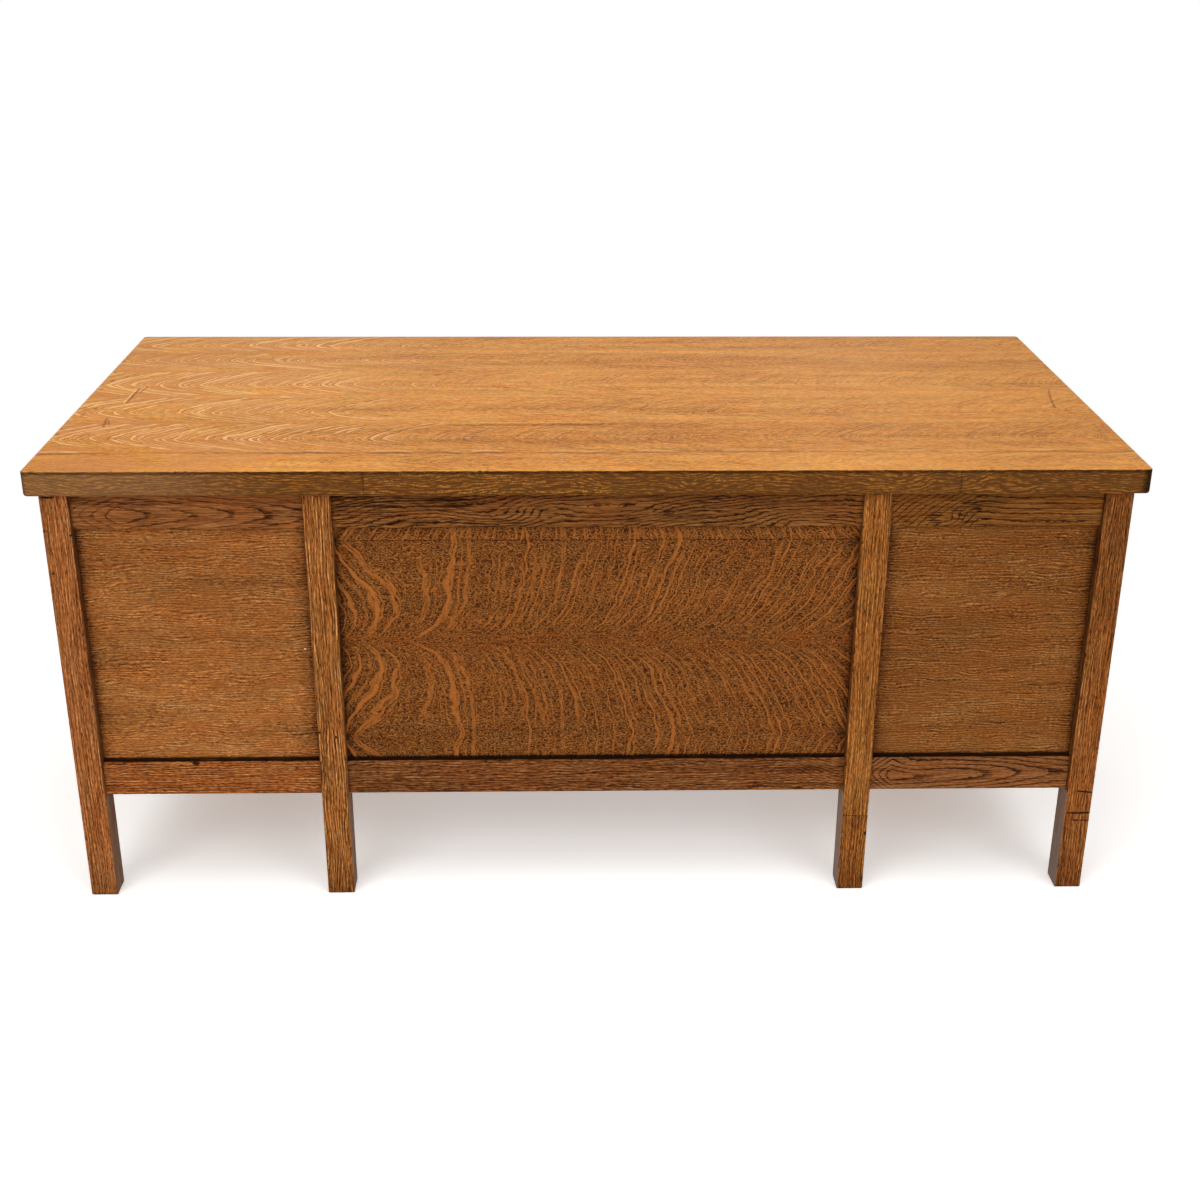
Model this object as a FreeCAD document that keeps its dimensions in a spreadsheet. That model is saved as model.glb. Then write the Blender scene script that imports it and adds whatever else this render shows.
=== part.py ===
import FreeCAD, Part

import Sketcher

import os
import re

# Twin-pedestal desk in oak, in millimetres.
# +X runs along the desk, the panelled back faces -Y and the drawers open towards +Y.
# The origin is on the floor under the centre of the top.

# Driving sizes, one cell each on the sheet
SIZES = (
    # The desk as a whole and its top
    ("top_length", 1753),
    ("top_depth", 838),
    ("top_thick", 41),
    ("desk_height", 775),
    ("end_overhang", 18),
    ("back_overhang", 18),
    ("front_overhang", 18),
    ("corner_round", 7),
    ("under_round", 5),
    ("upper_round", 1.5),
    # Posts and the two pedestals
    ("leg_width", 45),
    ("leg_depth", 45),
    ("leg_ease", 1.5),
    ("left_pedestal", 452),
    ("right_pedestal", 427.5),
    ("floor_gap", 193.5),
    # Framed sides and back
    ("rail_height", 62),
    ("rail_thick", 22),
    ("rail_recess", 9),
    ("tenon_thick", 8),
    ("tenon_web", 3),
    ("mortise_relief", 1),
    ("panel_thick", 9),
    ("panel_setback", 8),
    ("groove_depth", 10),
    ("panel_play", 1),
    # Rails between the drawers
    ("slim_rail", 18),
    ("slim_depth", 36),
    ("front_bottom", 40),
    ("stub_web", 4),
    ("stub_shoulder", 4),
    ("stub_gap", 1),
    # Openings for the drawers and slides
    ("slide_slot", 20),
    ("knee_opening", 80),
    # Runners, guides and stops
    ("runner_inside", 20),
    ("runner_housing", 5),
    ("guide_play", 2),
    ("stop_width", 40),
    ("stop_height", 5),
    ("slide_stop_depth", 16),
    # Drawers
    ("rear_space", 108),
    ("knee_rear_space", 188),
    ("side_gap", 1.5),
    ("front_gap", 1.5),
    ("side_top_gap", 2.5),
    ("running_gap", 0.3),
    ("front_thick", 20),
    ("side_thick", 12),
    ("back_thick", 12),
    ("back_drop", 6),
    ("tail_length", 12),
    ("bottom_thick", 6),
    ("bottom_rise", 12),
    ("bottom_groove", 5),
    ("bottom_play", 0.5),
    # Turned knobs
    ("spigot_radius", 6),
    ("collar_radius", 11),
    ("collar_height", 2.5),
    ("neck_radius", 8.5),
    ("neck_height", 9),
    ("knob_radius", 17),
    ("rim_low", 14.5),
    ("rim_high", 18.5),
    ("crown_radius", 11),
    ("knob_height", 24),
    ("rim_round", 1.6),
    # Writing slides
    ("slide_length", 400),
    ("slide_play", 1.7),
    ("lip_depth", 22),
    ("finger_width", 110),
    ("finger_depth", 9),
    ("finger_rise", 7),
    ("finger_setback", 6),
    # Buttons and screws that hold the top
    ("button_width", 30),
    ("button_length", 38),
    ("button_tongue", 6),
    ("button_slot_depth", 7),
    ("button_slot_play", 0.5),
    ("screw_radius", 2.2),
    ("screw_bite", 20),
    ("screw_head", 4.4),
    ("screw_sink", 3),
    ("screw_inset", 17),
)

# Shares of the top's depth that its boards take, from the back edge
board_shares = (0.107, 0.189, 0.184, 0.204, 0.155, 0.161)

# Shares of the left pedestal's drawer space, the upper drawer taking the rest
lower_opening_share = 0.372
middle_opening_share = 0.333

# Shares of a drawer's height that its dovetails take
tail_root_share = 0.5
tail_tip_share = 0.74

# Where the buttons, screws, stops and twin knobs stand along the bay that carries them
button_shares = (0.24, 0.76)
stop_shares = (0.2, 0.8)
kicker_screw_shares = (0.15, 0.85)
single_knob_shares = (0.5,)
twin_knob_shares = (0.26, 0.74)

# Places worked out from the driving sizes
PLACES = {
    "leg_height": "desk_height - top_thick",
    "body_west": "end_overhang - top_length / 2",
    "body_east": "top_length / 2 - end_overhang",
    "body_back": "back_overhang - top_depth / 2",
    "body_front": "top_depth / 2 - front_overhang",
    "left_inner_west": "body_west + left_pedestal - leg_width",
    "right_inner_west": "body_east - right_pedestal",
    "right_outer_west": "body_east - leg_width",
    "left_bay_west": "body_west + leg_width",
    "left_bay_width": "left_pedestal - 2 * leg_width",
    "right_bay_west": "right_inner_west + leg_width",
    "right_bay_width": "right_pedestal - 2 * leg_width",
    "knee_west": "left_inner_west + leg_width",
    "knee_width": "right_inner_west - knee_west",
    "side_back": "body_back + leg_depth",
    "side_front": "body_front - leg_depth",
    "side_span": "side_front - side_back",
    "front_face": "body_front - rail_recess",
    "rail_back": "body_back + rail_recess",
    "rail_inside": "rail_back + rail_thick",
    "low_rail_top": "floor_gap + rail_height",
    "high_rail_base": "leg_height - rail_height",
    "tenon_height": "rail_height - 2 * groove_depth",
    "tenon_inset": "(rail_thick - tenon_thick) / 2",
    "tenon_length": "leg_depth - rail_recess - tenon_inset - tenon_thick - tenon_web",
    "mortise_depth": "tenon_length + mortise_relief",
    "stub_length": "rail_recess + tenon_inset - stub_web",
    "stub_edge": "runner_housing + stub_gap",
    "panel_base": "low_rail_top - groove_depth + panel_play",
    "panel_height": "high_rail_base - low_rail_top + 2 * (groove_depth - panel_play)",
    "pedestal_lap": "leg_width - rail_recess - rail_thick",
    "slot_roof": "leg_height - slim_rail",
    "slot_floor": "slot_roof - slide_slot",
    "upper_roof": "slot_floor - slim_rail",
    "low_floor": "floor_gap + front_bottom",
    "drawer_space": "upper_roof - low_floor - 2 * slim_rail",
    "lower_opening": "%s * drawer_space" % lower_opening_share,
    "middle_opening": "%s * drawer_space" % middle_opening_share,
    "middle_floor": "low_floor + lower_opening + slim_rail",
    "upper_floor": "middle_floor + middle_opening + slim_rail",
    "upper_opening": "upper_roof - upper_floor",
    "deep_opening": "upper_floor - slim_rail - low_floor",
    "knee_floor": "slot_roof - knee_opening",
    "stop_depth": "slim_depth - front_thick - running_gap",
    "guide_height": "slide_slot - guide_play",
    "drawer_length": "front_face - side_back - rear_space",
    "knee_drawer_length": "front_face - side_back - knee_rear_space",
    "slide_thick": "slide_slot - running_gap - slide_play",
}

TOWARDS_FRONT = FreeCAD.Rotation(FreeCAD.Vector(1, 0, 0), -90)

doc = FreeCAD.newDocument("PedestalDesk")
parts = {}
screw_spots = []


def make_sheet():
    sheet = doc.addObject("Spreadsheet::Sheet", "Sizes")
    for row, (alias, size) in enumerate(SIZES, 1):
        sheet.set("A%d" % row, alias.replace("_", " "))
        sheet.set("B%d" % row, str(size))
        sheet.setAlias("B%d" % row, alias)
    doc.recompute()
    return sheet


sheet = make_sheet()
ALIASES = {alias for alias, size in SIZES}


def spell(text):
    """Write named sizes and places as an expression on the sheet."""
    def swap(match):
        word = match.group(0)
        if word in PLACES:
            return "(" + spell(PLACES[word]) + ")"
        if word in ALIASES:
            return "Sizes." + word
        raise ValueError("unknown size " + word)
    return re.sub(r"[a-z]+(_[a-z]+)*", swap, str(text))


def total(*texts):
    """Add up expressions."""
    return " + ".join("(%s)" % text for text in texts)


def less(text, *others):
    """Take expressions away from the first one."""
    return " - ".join("(%s)" % part for part in (text,) + others)


def times(share, text):
    return "%s * (%s)" % (share, text)


def half(text):
    return "(%s) / 2" % text


def bind(thing, prop, text):
    thing.setExpression(prop, spell(text))


def put(thing, corner):
    for axis, text in zip("xyz", corner):
        bind(thing, "Placement.Base." + axis, text)


def new_body(label, corner):
    """A body whose own origin stands at the given corner of the desk."""
    body = doc.addObject("PartDesign::Body", label)
    body.Label = label
    put(body, corner)
    return body


def block(body, name, kind, size, corner=(0, 0, 0)):
    """Add or subtract a box of the given size, kind being Additive or Subtractive."""
    feature = body.newObject("PartDesign::%sBox" % kind, name)
    for prop, text in zip(("Length", "Width", "Height"), size):
        bind(feature, prop, text)
    put(feature, corner)
    return feature


def bore(body, name, radius, depth, start, along="z"):
    """Drill a round hole from start, upwards or along +Y."""
    feature = body.newObject("PartDesign::SubtractiveCylinder", name)
    bind(feature, "Radius", radius)
    bind(feature, "Height", depth)
    if along == "y":
        feature.Placement.Rotation = TOWARDS_FRONT
    put(feature, start)
    return feature


def cone(body, name, kind, low_radius, high_radius, height, start):
    feature = body.newObject("PartDesign::%sCone" % kind, name)
    bind(feature, "Radius1", low_radius)
    bind(feature, "Radius2", high_radius)
    bind(feature, "Height", height)
    put(feature, start)
    return feature


def soften(body, name, kind, prop, size, wanted):
    """Fillet or chamfer the edges of the body's tip that the test picks."""
    doc.recompute()
    base = body.Tip
    edges = ["Edge%d" % number for number, edge in enumerate(base.Shape.Edges, 1) if wanted(edge)]
    feature = body.newObject("PartDesign::" + kind, name)
    feature.Base = (base, edges)
    bind(feature, prop, size)
    return feature


def is_upright(edge):
    box = edge.BoundBox
    return box.ZLength > box.XLength + box.YLength


def is_arris(edge):
    """The long corners of a post and the four edges of its foot."""
    return edge.BoundBox.ZMin < 0.001


def lies_at(height):
    """A test for level edges at one height of the body."""
    def wanted(edge):
        box = edge.BoundBox
        return abs(box.ZMin - height) < 0.001 and abs(box.ZMax - height) < 0.001
    return wanted


def group(label, members):
    """Separate solids that share one node."""
    compound = doc.addObject("Part::Compound", label)
    compound.Label = label
    compound.Links = members
    parts[label] = compound


# Sockets in the posts

def frame_sockets(body, name, mortise, mortise_at, groove, groove_at):
    """A mortise for each rail of a frame and the panel groove between them."""
    for rail, base in (("low", "floor_gap"), ("high", "high_rail_base")):
        block(body, "%s_%s_mortise" % (name, rail), "Subtractive",
              mortise + ("tenon_height",), mortise_at + (total(base, "groove_depth"),))
    block(body, name + "_groove", "Subtractive",
          groove + ("high_rail_base - low_rail_top + 2 * groove_depth",),
          groove_at + ("low_rail_top - groove_depth",))


def back_frame_socket(body, side):
    """Joints for the back rails and panel in the east or west face of a back post."""
    in_east = side == "east"
    frame_sockets(body, side,
                  ("mortise_depth", "tenon_thick"),
                  ("leg_width - mortise_depth" if in_east else 0, "rail_recess + tenon_inset"),
                  ("groove_depth", "panel_thick"),
                  ("leg_width - groove_depth" if in_east else 0, "rail_recess + panel_setback"))


def side_frame_socket(body, face, outside):
    """Joints for a side frame in the front or back face of a post, its show side east or west."""
    in_front = face == "front"
    if outside == "west":
        mortise_x = "rail_recess + tenon_inset"
        groove_x = "rail_recess + panel_setback"
    else:
        mortise_x = "leg_width - rail_recess - tenon_inset - tenon_thick"
        groove_x = "leg_width - rail_recess - panel_setback - panel_thick"
    frame_sockets(body, "side",
                  ("tenon_thick", "mortise_depth"),
                  (mortise_x, "leg_depth - mortise_depth" if in_front else 0),
                  ("panel_thick", "groove_depth"),
                  (groove_x, "leg_depth - groove_depth" if in_front else 0))


def slim_rail_sockets(body, side, rails):
    """Stub mortises in a front post for the rails between the drawers."""
    x = "leg_width - stub_length" if side == "east" else 0
    for number, (base, height) in enumerate(rails, 1):
        block(body, "%s_stub_%d" % (side, number), "Subtractive",
              ("stub_length", "slim_depth - 2 * stub_edge", less(height, "2 * stub_shoulder")),
              (x, "stub_edge", total(base, "stub_shoulder")))


def runner_housings(body, face, side, lap, floors):
    """Shallow housings that carry the ends of the runners."""
    x = less("leg_width", lap) if side == "east" else 0
    y = "leg_depth - runner_housing" if face == "front" else 0
    for number, floor in enumerate(floors, 1):
        block(body, "%s_housing_%d" % (side, number), "Subtractive",
              (lap, "runner_housing", "slim_rail"), (x, y, less(floor, "slim_rail")))


# Posts

LEFT_FLOORS = ("low_floor", "middle_floor", "upper_floor", "slot_floor", "leg_height")
RIGHT_FLOORS = ("low_floor", "upper_floor", "slot_floor", "leg_height")
KNEE_FLOORS = ("knee_floor", "leg_height")


def rails_under(floors):
    """Base and height of the front rail under each floor, the lowest one being deeper."""
    rails = []
    for floor in floors:
        if floor == "low_floor":
            rails.append(("floor_gap", "front_bottom"))
        else:
            rails.append((less(floor, "slim_rail"), "slim_rail"))
    return rails


POSTS = (
    # label, west face, outside, floors on the west side, floors on the east side
    ("left_outer", "body_west", "west", (), LEFT_FLOORS),
    ("left_inner", "left_inner_west", "east", LEFT_FLOORS, KNEE_FLOORS),
    ("right_inner", "right_inner_west", "west", KNEE_FLOORS, RIGHT_FLOORS),
    ("right_outer", "right_outer_west", "east", RIGHT_FLOORS, ()),
)


def post_blank(label, west, back):
    body = new_body(label, (west, back, 0))
    block(body, "blank", "Additive", ("leg_width", "leg_depth", "leg_height"))
    soften(body, "arrises", "Chamfer", "Size", "leg_ease", is_arris)
    return body


def make_posts():
    for name, west, outside, west_floors, east_floors in POSTS:
        sides = [(side, floors) for side, floors in (("west", west_floors), ("east", east_floors)) if floors]
        laps = {floors: "rail_recess" if floors is KNEE_FLOORS else "pedestal_lap"
                for side, floors in sides}

        back_post = post_blank("back_post_" + name, west, "body_back")
        side_frame_socket(back_post, "front", outside)
        for side, floors in sides:
            back_frame_socket(back_post, side)
            runner_housings(back_post, "front", side, laps[floors], floors)
        parts[back_post.Label] = back_post

        front_post = post_blank("front_post_" + name, west, "side_front")
        side_frame_socket(front_post, "back", outside)
        for side, floors in sides:
            slim_rail_sockets(front_post, side, rails_under(floors))
            runner_housings(front_post, "back", side, laps[floors], floors)
        parts[front_post.Label] = front_post


# Framed back and sides

BAYS = (
    ("left", "left_bay_west", "left_bay_width"),
    ("centre", "knee_west", "knee_width"),
    ("right", "right_bay_west", "right_bay_width"),
)


def back_rail(label, west, width, base, groove_at, button_slot):
    """A rail of the back with a tenon at each end and a groove for its panel."""
    body = new_body(label, (west, "rail_back", base))
    block(body, "rail", "Additive", (width, "rail_thick", "rail_height"))
    for end, x in (("west", "-tenon_length"), ("east", width)):
        block(body, end + "_tenon", "Additive", ("tenon_length", "tenon_thick", "tenon_height"),
              (x, "tenon_inset", "groove_depth"))
    block(body, "groove", "Subtractive", (width, "panel_thick", "groove_depth"),
          (0, "panel_setback", groove_at))
    if button_slot:
        block(body, "button_slot", "Subtractive",
              (width, "button_slot_depth", "button_tongue + button_slot_play"),
              (0, "rail_thick - button_slot_depth", "slot_roof - button_slot_play - high_rail_base"))
    parts[label] = body


def side_rail(label, west, base, groove_at, outside):
    """A rail of a side frame, running from the back post to the front post."""
    body = new_body(label, (west, "side_back", base))
    block(body, "rail", "Additive", ("rail_thick", "side_span", "rail_height"))
    for end, y in (("back", "-tenon_length"), ("front", "side_span")):
        block(body, end + "_tenon", "Additive", ("tenon_thick", "tenon_length", "tenon_height"),
              ("tenon_inset", y, "groove_depth"))
    x = "panel_setback" if outside == "west" else "rail_thick - panel_setback - panel_thick"
    block(body, "groove", "Subtractive", ("panel_thick", "side_span", "groove_depth"),
          (x, 0, groove_at))
    parts[label] = body


def make_back():
    reach = "groove_depth - panel_play"
    for name, west, width in BAYS:
        back_rail("back_top_rail_" + name, west, width, "high_rail_base", 0, True)
        back_rail("back_bottom_rail_" + name, west, width, "floor_gap",
                  "rail_height - groove_depth", False)
        panel = new_body("back_panel_" + name,
                         (less(west, reach), "rail_back + panel_setback", "panel_base"))
        block(panel, "board", "Additive",
              (total(width, times(2, reach)), "panel_thick", "panel_height"))
        parts[panel.Label] = panel


def make_sides():
    reach = "groove_depth - panel_play"
    labels = {"left_outer": "left_end", "left_inner": "left_kneehole",
              "right_inner": "right_kneehole", "right_outer": "right_end"}
    for name, west, outside, west_floors, east_floors in POSTS:
        label = labels[name]
        if outside == "west":
            rail_west = total(west, "rail_recess")
            panel_west = total(west, "rail_recess", "panel_setback")
        else:
            rail_west = less(total(west, "leg_width"), "rail_recess", "rail_thick")
            panel_west = less(total(west, "leg_width"), "rail_recess", "panel_setback", "panel_thick")
        side_rail(label + "_top_rail", rail_west, "high_rail_base", 0, outside)
        side_rail(label + "_bottom_rail", rail_west, "floor_gap", "rail_height - groove_depth", outside)
        panel = new_body(label + "_panel", (panel_west, less("side_back", reach), "panel_base"))
        block(panel, "board", "Additive",
              ("panel_thick", total("side_span", times(2, reach)), "panel_height"))
        parts[panel.Label] = panel


# Front rails, runners and stops

def screw_hole(body, corner, x, y):
    """A countersunk hole up through a piece whose underside is at the slot's roof."""
    local_x = less(x, corner[0])
    local_y = less(y, corner[1])
    bore(body, "screw_hole", "screw_radius", "slim_rail", (local_x, local_y, 0))
    cone(body, "screw_sink", "Subtractive", "screw_head", "screw_radius", "screw_sink",
         (local_x, local_y, 0))
    screw_spots.append((x, y))


def slim_rail(label, west, width, base, height, holes=()):
    """A rail of the front, stub-tenoned into the posts."""
    corner = (west, "side_front", base)
    body = new_body(label, corner)
    block(body, "rail", "Additive", (width, "slim_depth", height))
    for end, x in (("west", "-stub_length"), ("east", width)):
        block(body, end + "_tenon", "Additive",
              ("stub_length", "slim_depth - 2 * stub_edge", less(height, "2 * stub_shoulder")),
              (x, "stub_edge", "stub_shoulder"))
    for x in holes:
        screw_hole(body, corner, x, "side_front + screw_inset")
    return body


def make_front_rails():
    for (name, west, width), floors in zip(BAYS, (LEFT_FLOORS, KNEE_FLOORS, RIGHT_FLOORS)):
        members = []
        for number, (floor, (base, height)) in enumerate(zip(floors, rails_under(floors)), 1):
            at_head = floor == "leg_height"
            holes = [total(west, times(share, width)) for share in button_shares] if at_head else ()
            members.append(slim_rail("%s_front_rail_%d" % (name, number), west, width, base, height, holes))
        if name == "centre":
            for label, body in zip(("kneehole_drawer_rail", "kneehole_top_rail"), members):
                body.Label = label
                parts[label] = body
        else:
            group(name + "_front_rails", members)


def runner(label, wall, lap, side, floor, holes=()):
    """A runner bar against a side frame, the wall being where that frame ends."""
    width = total(lap, "runner_inside")
    west = wall if side == "west" else less(wall, width)
    corner = (west, "side_back", less(floor, "slim_rail"))
    body = new_body(label, corner)
    block(body, "bar", "Additive", (width, "side_span", "slim_rail"))
    tab_x = 0 if side == "west" else "runner_inside"
    for end, y in (("back", "-runner_housing"), ("front", "side_span")):
        block(body, end + "_tab", "Additive", (lap, "runner_housing", "slim_rail"), (tab_x, y, 0))
    for share in holes:
        screw_hole(body, corner, total(west, "screw_inset"), total("side_back", times(share, "side_span")))
    return body


def guide(label, wall, lap, side, floor):
    """A strip on a runner that keeps the drawer straight."""
    west = wall if side == "west" else less(wall, lap)
    body = new_body(label, (west, "side_back", floor))
    block(body, "strip", "Additive", (lap, "side_span", "guide_height"))
    return body


def make_runners():
    bays = (
        ("left", "left_bay_west", "left_bay_width", "pedestal_lap", LEFT_FLOORS, kicker_screw_shares),
        ("kneehole", "knee_west", "knee_width", "rail_recess", KNEE_FLOORS, ()),
        ("right", "right_bay_west", "right_bay_width", "pedestal_lap", RIGHT_FLOORS, kicker_screw_shares),
    )
    for name, bay_west, bay_width, lap, floors, shares in bays:
        members = []
        walls = (("west", less(bay_west, lap)), ("east", total(bay_west, bay_width, lap)))
        for side, wall in walls:
            outer = (name, side) in (("left", "west"), ("right", "east"))
            for number, floor in enumerate(floors, 1):
                at_head = floor == "leg_height"
                tag = "%s_%s_%d" % (name, side, number)
                holes = shares if at_head and outer else ()
                members.append(runner(tag + "_runner", wall, lap, side, floor, holes))
                if not at_head:
                    members.append(guide(tag + "_guide", wall, lap, side, floor))
        group(name + "_runners", members)


def make_stops():
    """Blocks on the rails that stop the drawers, and on the runners that stop the slides."""
    members = []
    spots = (
        ("left", "left_bay_west", "left_bay_width", ("low_floor", "middle_floor", "upper_floor")),
        ("kneehole", "knee_west", "knee_width", ("knee_floor",)),
        ("right", "right_bay_west", "right_bay_width", ("low_floor", "upper_floor")),
    )
    for name, west, width, floors in spots:
        for level, floor in enumerate(floors, 1):
            for number, share in enumerate(stop_shares, 1):
                x = less(total(west, times(share, width)), "stop_width / 2")
                body = new_body("%s_stop_%d_%d" % (name, level, number), (x, "side_front", floor))
                block(body, "stop", "Additive", ("stop_width", "stop_depth", "stop_height"))
                members.append(body)
        if name == "kneehole":
            continue
        y = "front_face - slide_length - running_gap - slide_stop_depth"
        for side, x in (("west", west), ("east", less(total(west, width), "runner_inside"))):
            body = new_body("%s_slide_stop_%s" % (name, side), (x, y, "slot_floor"))
            block(body, "stop", "Additive", ("runner_inside", "slide_stop_depth", "guide_height"))
            members.append(body)
    group("drawer_and_slide_stops", members)


# Buttons, screws and the top

def make_buttons():
    members = []
    for name, west, width in BAYS:
        for number, share in enumerate(button_shares, 1):
            middle = total(west, times(share, width))
            corner = (less(middle, "button_width / 2"), "rail_inside", "slot_roof")
            body = new_body("%s_button_%d" % (name, number), corner)
            block(body, "shank", "Additive", ("button_width", "button_length", "slim_rail"))
            block(body, "tongue", "Additive", ("button_width", "button_tongue", "button_tongue"),
                  (0, "-button_tongue", 0))
            screw_hole(body, corner, middle, "rail_inside + button_length / 2")
            members.append(body)
    group("top_buttons", members)


def make_screws():
    members = []
    for number, (x, y) in enumerate(screw_spots, 1):
        body = new_body("top_screw_%d" % number, (x, y, "slot_roof"))
        cone(body, "head", "Additive", "screw_head", "screw_radius", "screw_sink", (0, 0, 0))
        shank = body.newObject("PartDesign::AdditiveCylinder", "shank")
        bind(shank, "Radius", "screw_radius")
        bind(shank, "Height", "slim_rail + screw_bite")
        members.append(body)
    group("top_screws", members)


def make_top():
    """One slab shaped as a whole and then parted at its glue lines."""
    corner = ("-top_length / 2", "-top_depth / 2", "leg_height")
    slab = new_body("top_slab", corner)
    block(slab, "plank", "Additive", ("top_length", "top_depth", "top_thick"))
    soften(slab, "corners", "Fillet", "Radius", "corner_round", is_upright)
    soften(slab, "under_edge", "Fillet", "Radius", "under_round", lies_at(0))
    soften(slab, "upper_edge", "Fillet", "Radius", "upper_round", lies_at(sheet.top_thick))
    for number, (x, y) in enumerate(screw_spots, 1):
        bore(slab, "screw_hole_%d" % number, "screw_radius", "screw_bite",
             (less(x, corner[0]), less(y, corner[1]), 0))
    boards = []
    back = corner[1]
    for number, share in enumerate(board_shares, 1):
        width = times(share, "top_depth")
        field = doc.addObject("Part::Box", "board_field_%d" % number)
        for prop, text in zip(("Length", "Width", "Height"), ("top_length", width, "top_thick")):
            bind(field, prop, text)
        put(field, (corner[0], back, corner[2]))
        board = doc.addObject("Part::Common", "top_board_%d" % number)
        board.Base = slab
        board.Tool = field
        boards.append(board)
        back = total(back, width)
    group("top_boards", boards)


# Drawers

DRAWERS = (
    # label, bay's west side, bay's width, floor, opening, length, dovetails, knobs
    ("left_lower", "left_bay_west", "left_bay_width", "low_floor", "lower_opening",
     "drawer_length", 3, single_knob_shares),
    ("left_middle", "left_bay_west", "left_bay_width", "middle_floor", "middle_opening",
     "drawer_length", 3, single_knob_shares),
    ("left_upper", "left_bay_west", "left_bay_width", "upper_floor", "upper_opening",
     "drawer_length", 3, single_knob_shares),
    ("right_file", "right_bay_west", "right_bay_width", "low_floor", "deep_opening",
     "drawer_length", 6, single_knob_shares),
    ("right_upper", "right_bay_west", "right_bay_width", "upper_floor", "upper_opening",
     "drawer_length", 3, single_knob_shares),
    ("kneehole", "knee_west", "knee_width", "knee_floor", "knee_opening",
     "knee_drawer_length", 2, twin_knob_shares),
)


def dovetails(body, kind, x, y, low, height, count, wide_end):
    """Tails, or the sockets that take them, spread evenly over a height."""
    pitch = "(%s) / %d" % (height, count)
    if wide_end == "front":
        length, back_share, front_share = "tail_length", tail_root_share, tail_tip_share
    else:
        length, back_share, front_share = "back_thick", tail_tip_share, tail_root_share
    for number in range(count):
        start = total(low, times(number, pitch))
        name = "%s_%s_tail_%d" % (body.Label, wide_end, number + 1)
        feature = body.newObject("PartDesign::%sWedge" % kind, name)
        for prop in ("Xmin", "X2min", "Ymin"):
            bind(feature, prop, 0)
        for prop in ("Xmax", "X2max"):
            bind(feature, prop, "side_thick")
        bind(feature, "Ymax", length)
        for prefix, share in (("Z", back_share), ("Z2", front_share)):
            bind(feature, prefix + "min", total(start, half(times(1 - share, pitch))))
            bind(feature, prefix + "max", total(start, half(times(1 + share, pitch))))
        put(feature, (x, y, 0))


KNOB_PROFILE = (
    # Sizes to add up outwards from the axis, and forwards from the back of the drawer front
    ((), ()),
    (("spigot_radius",), ()),
    (("spigot_radius",), ("front_thick",)),
    (("collar_radius",), ("front_thick",)),
    (("collar_radius",), ("front_thick", "collar_height")),
    (("neck_radius",), ("front_thick", "neck_height")),
    (("knob_radius",), ("front_thick", "rim_low")),
    (("knob_radius",), ("front_thick", "rim_high")),
    (("crown_radius",), ("front_thick", "knob_height")),
    ((), ("front_thick", "knob_height")),
)


def length_of(names):
    return float(sum(getattr(sheet, name) for name in names))


def outline(sketch, corners):
    """Draw a closed outline whose corners are bound to the sheet."""
    count = len(corners)
    spots = [FreeCAD.Vector(length_of(across), length_of(along), 0) for across, along in corners]
    for number, spot in enumerate(spots):
        sketch.addGeometry(Part.LineSegment(spot, spots[(number + 1) % count]), False)
    for number in range(count):
        sketch.addConstraint(Sketcher.Constraint("Coincident", number, 2, (number + 1) % count, 1))
    for number, corner in enumerate(corners):
        for kind, axis, names in (("DistanceX", -2, corner[0]), ("DistanceY", -1, corner[1])):
            if not names:
                sketch.addConstraint(Sketcher.Constraint("PointOnObject", number, 1, axis))
                continue
            held = Sketcher.Constraint(kind, -1, 1, number, 1, length_of(names))
            bind(sketch, "Constraints[%d]" % sketch.addConstraint(held), total(*names))


def knob(label, corner):
    """A knob turned in one piece with the spigot that holds it."""
    body = new_body(label, corner)
    body.Placement.Rotation = TOWARDS_FRONT
    sketch = body.newObject("Sketcher::SketchObject", label + "_profile")
    plane = [item for item in body.Origin.OriginFeatures if item.Role == "XZ_Plane"][0]
    sketch.AttachmentSupport = (plane, [""])
    sketch.MapMode = "FlatFace"
    outline(sketch, KNOB_PROFILE)
    turn = body.newObject("PartDesign::Revolution", label + "_turning")
    turn.Profile = sketch
    turn.ReferenceAxis = (sketch, ["V_Axis"])
    turn.Angle = 360
    widest = 2 * length_of(("knob_radius",))

    def on_rim(edge):
        return edge.BoundBox.XLength > widest - 0.001 and edge.BoundBox.ZLength < 0.001
    soften(body, label + "_rim", "Fillet", "Radius", "rim_round", on_rim)
    return body


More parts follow.
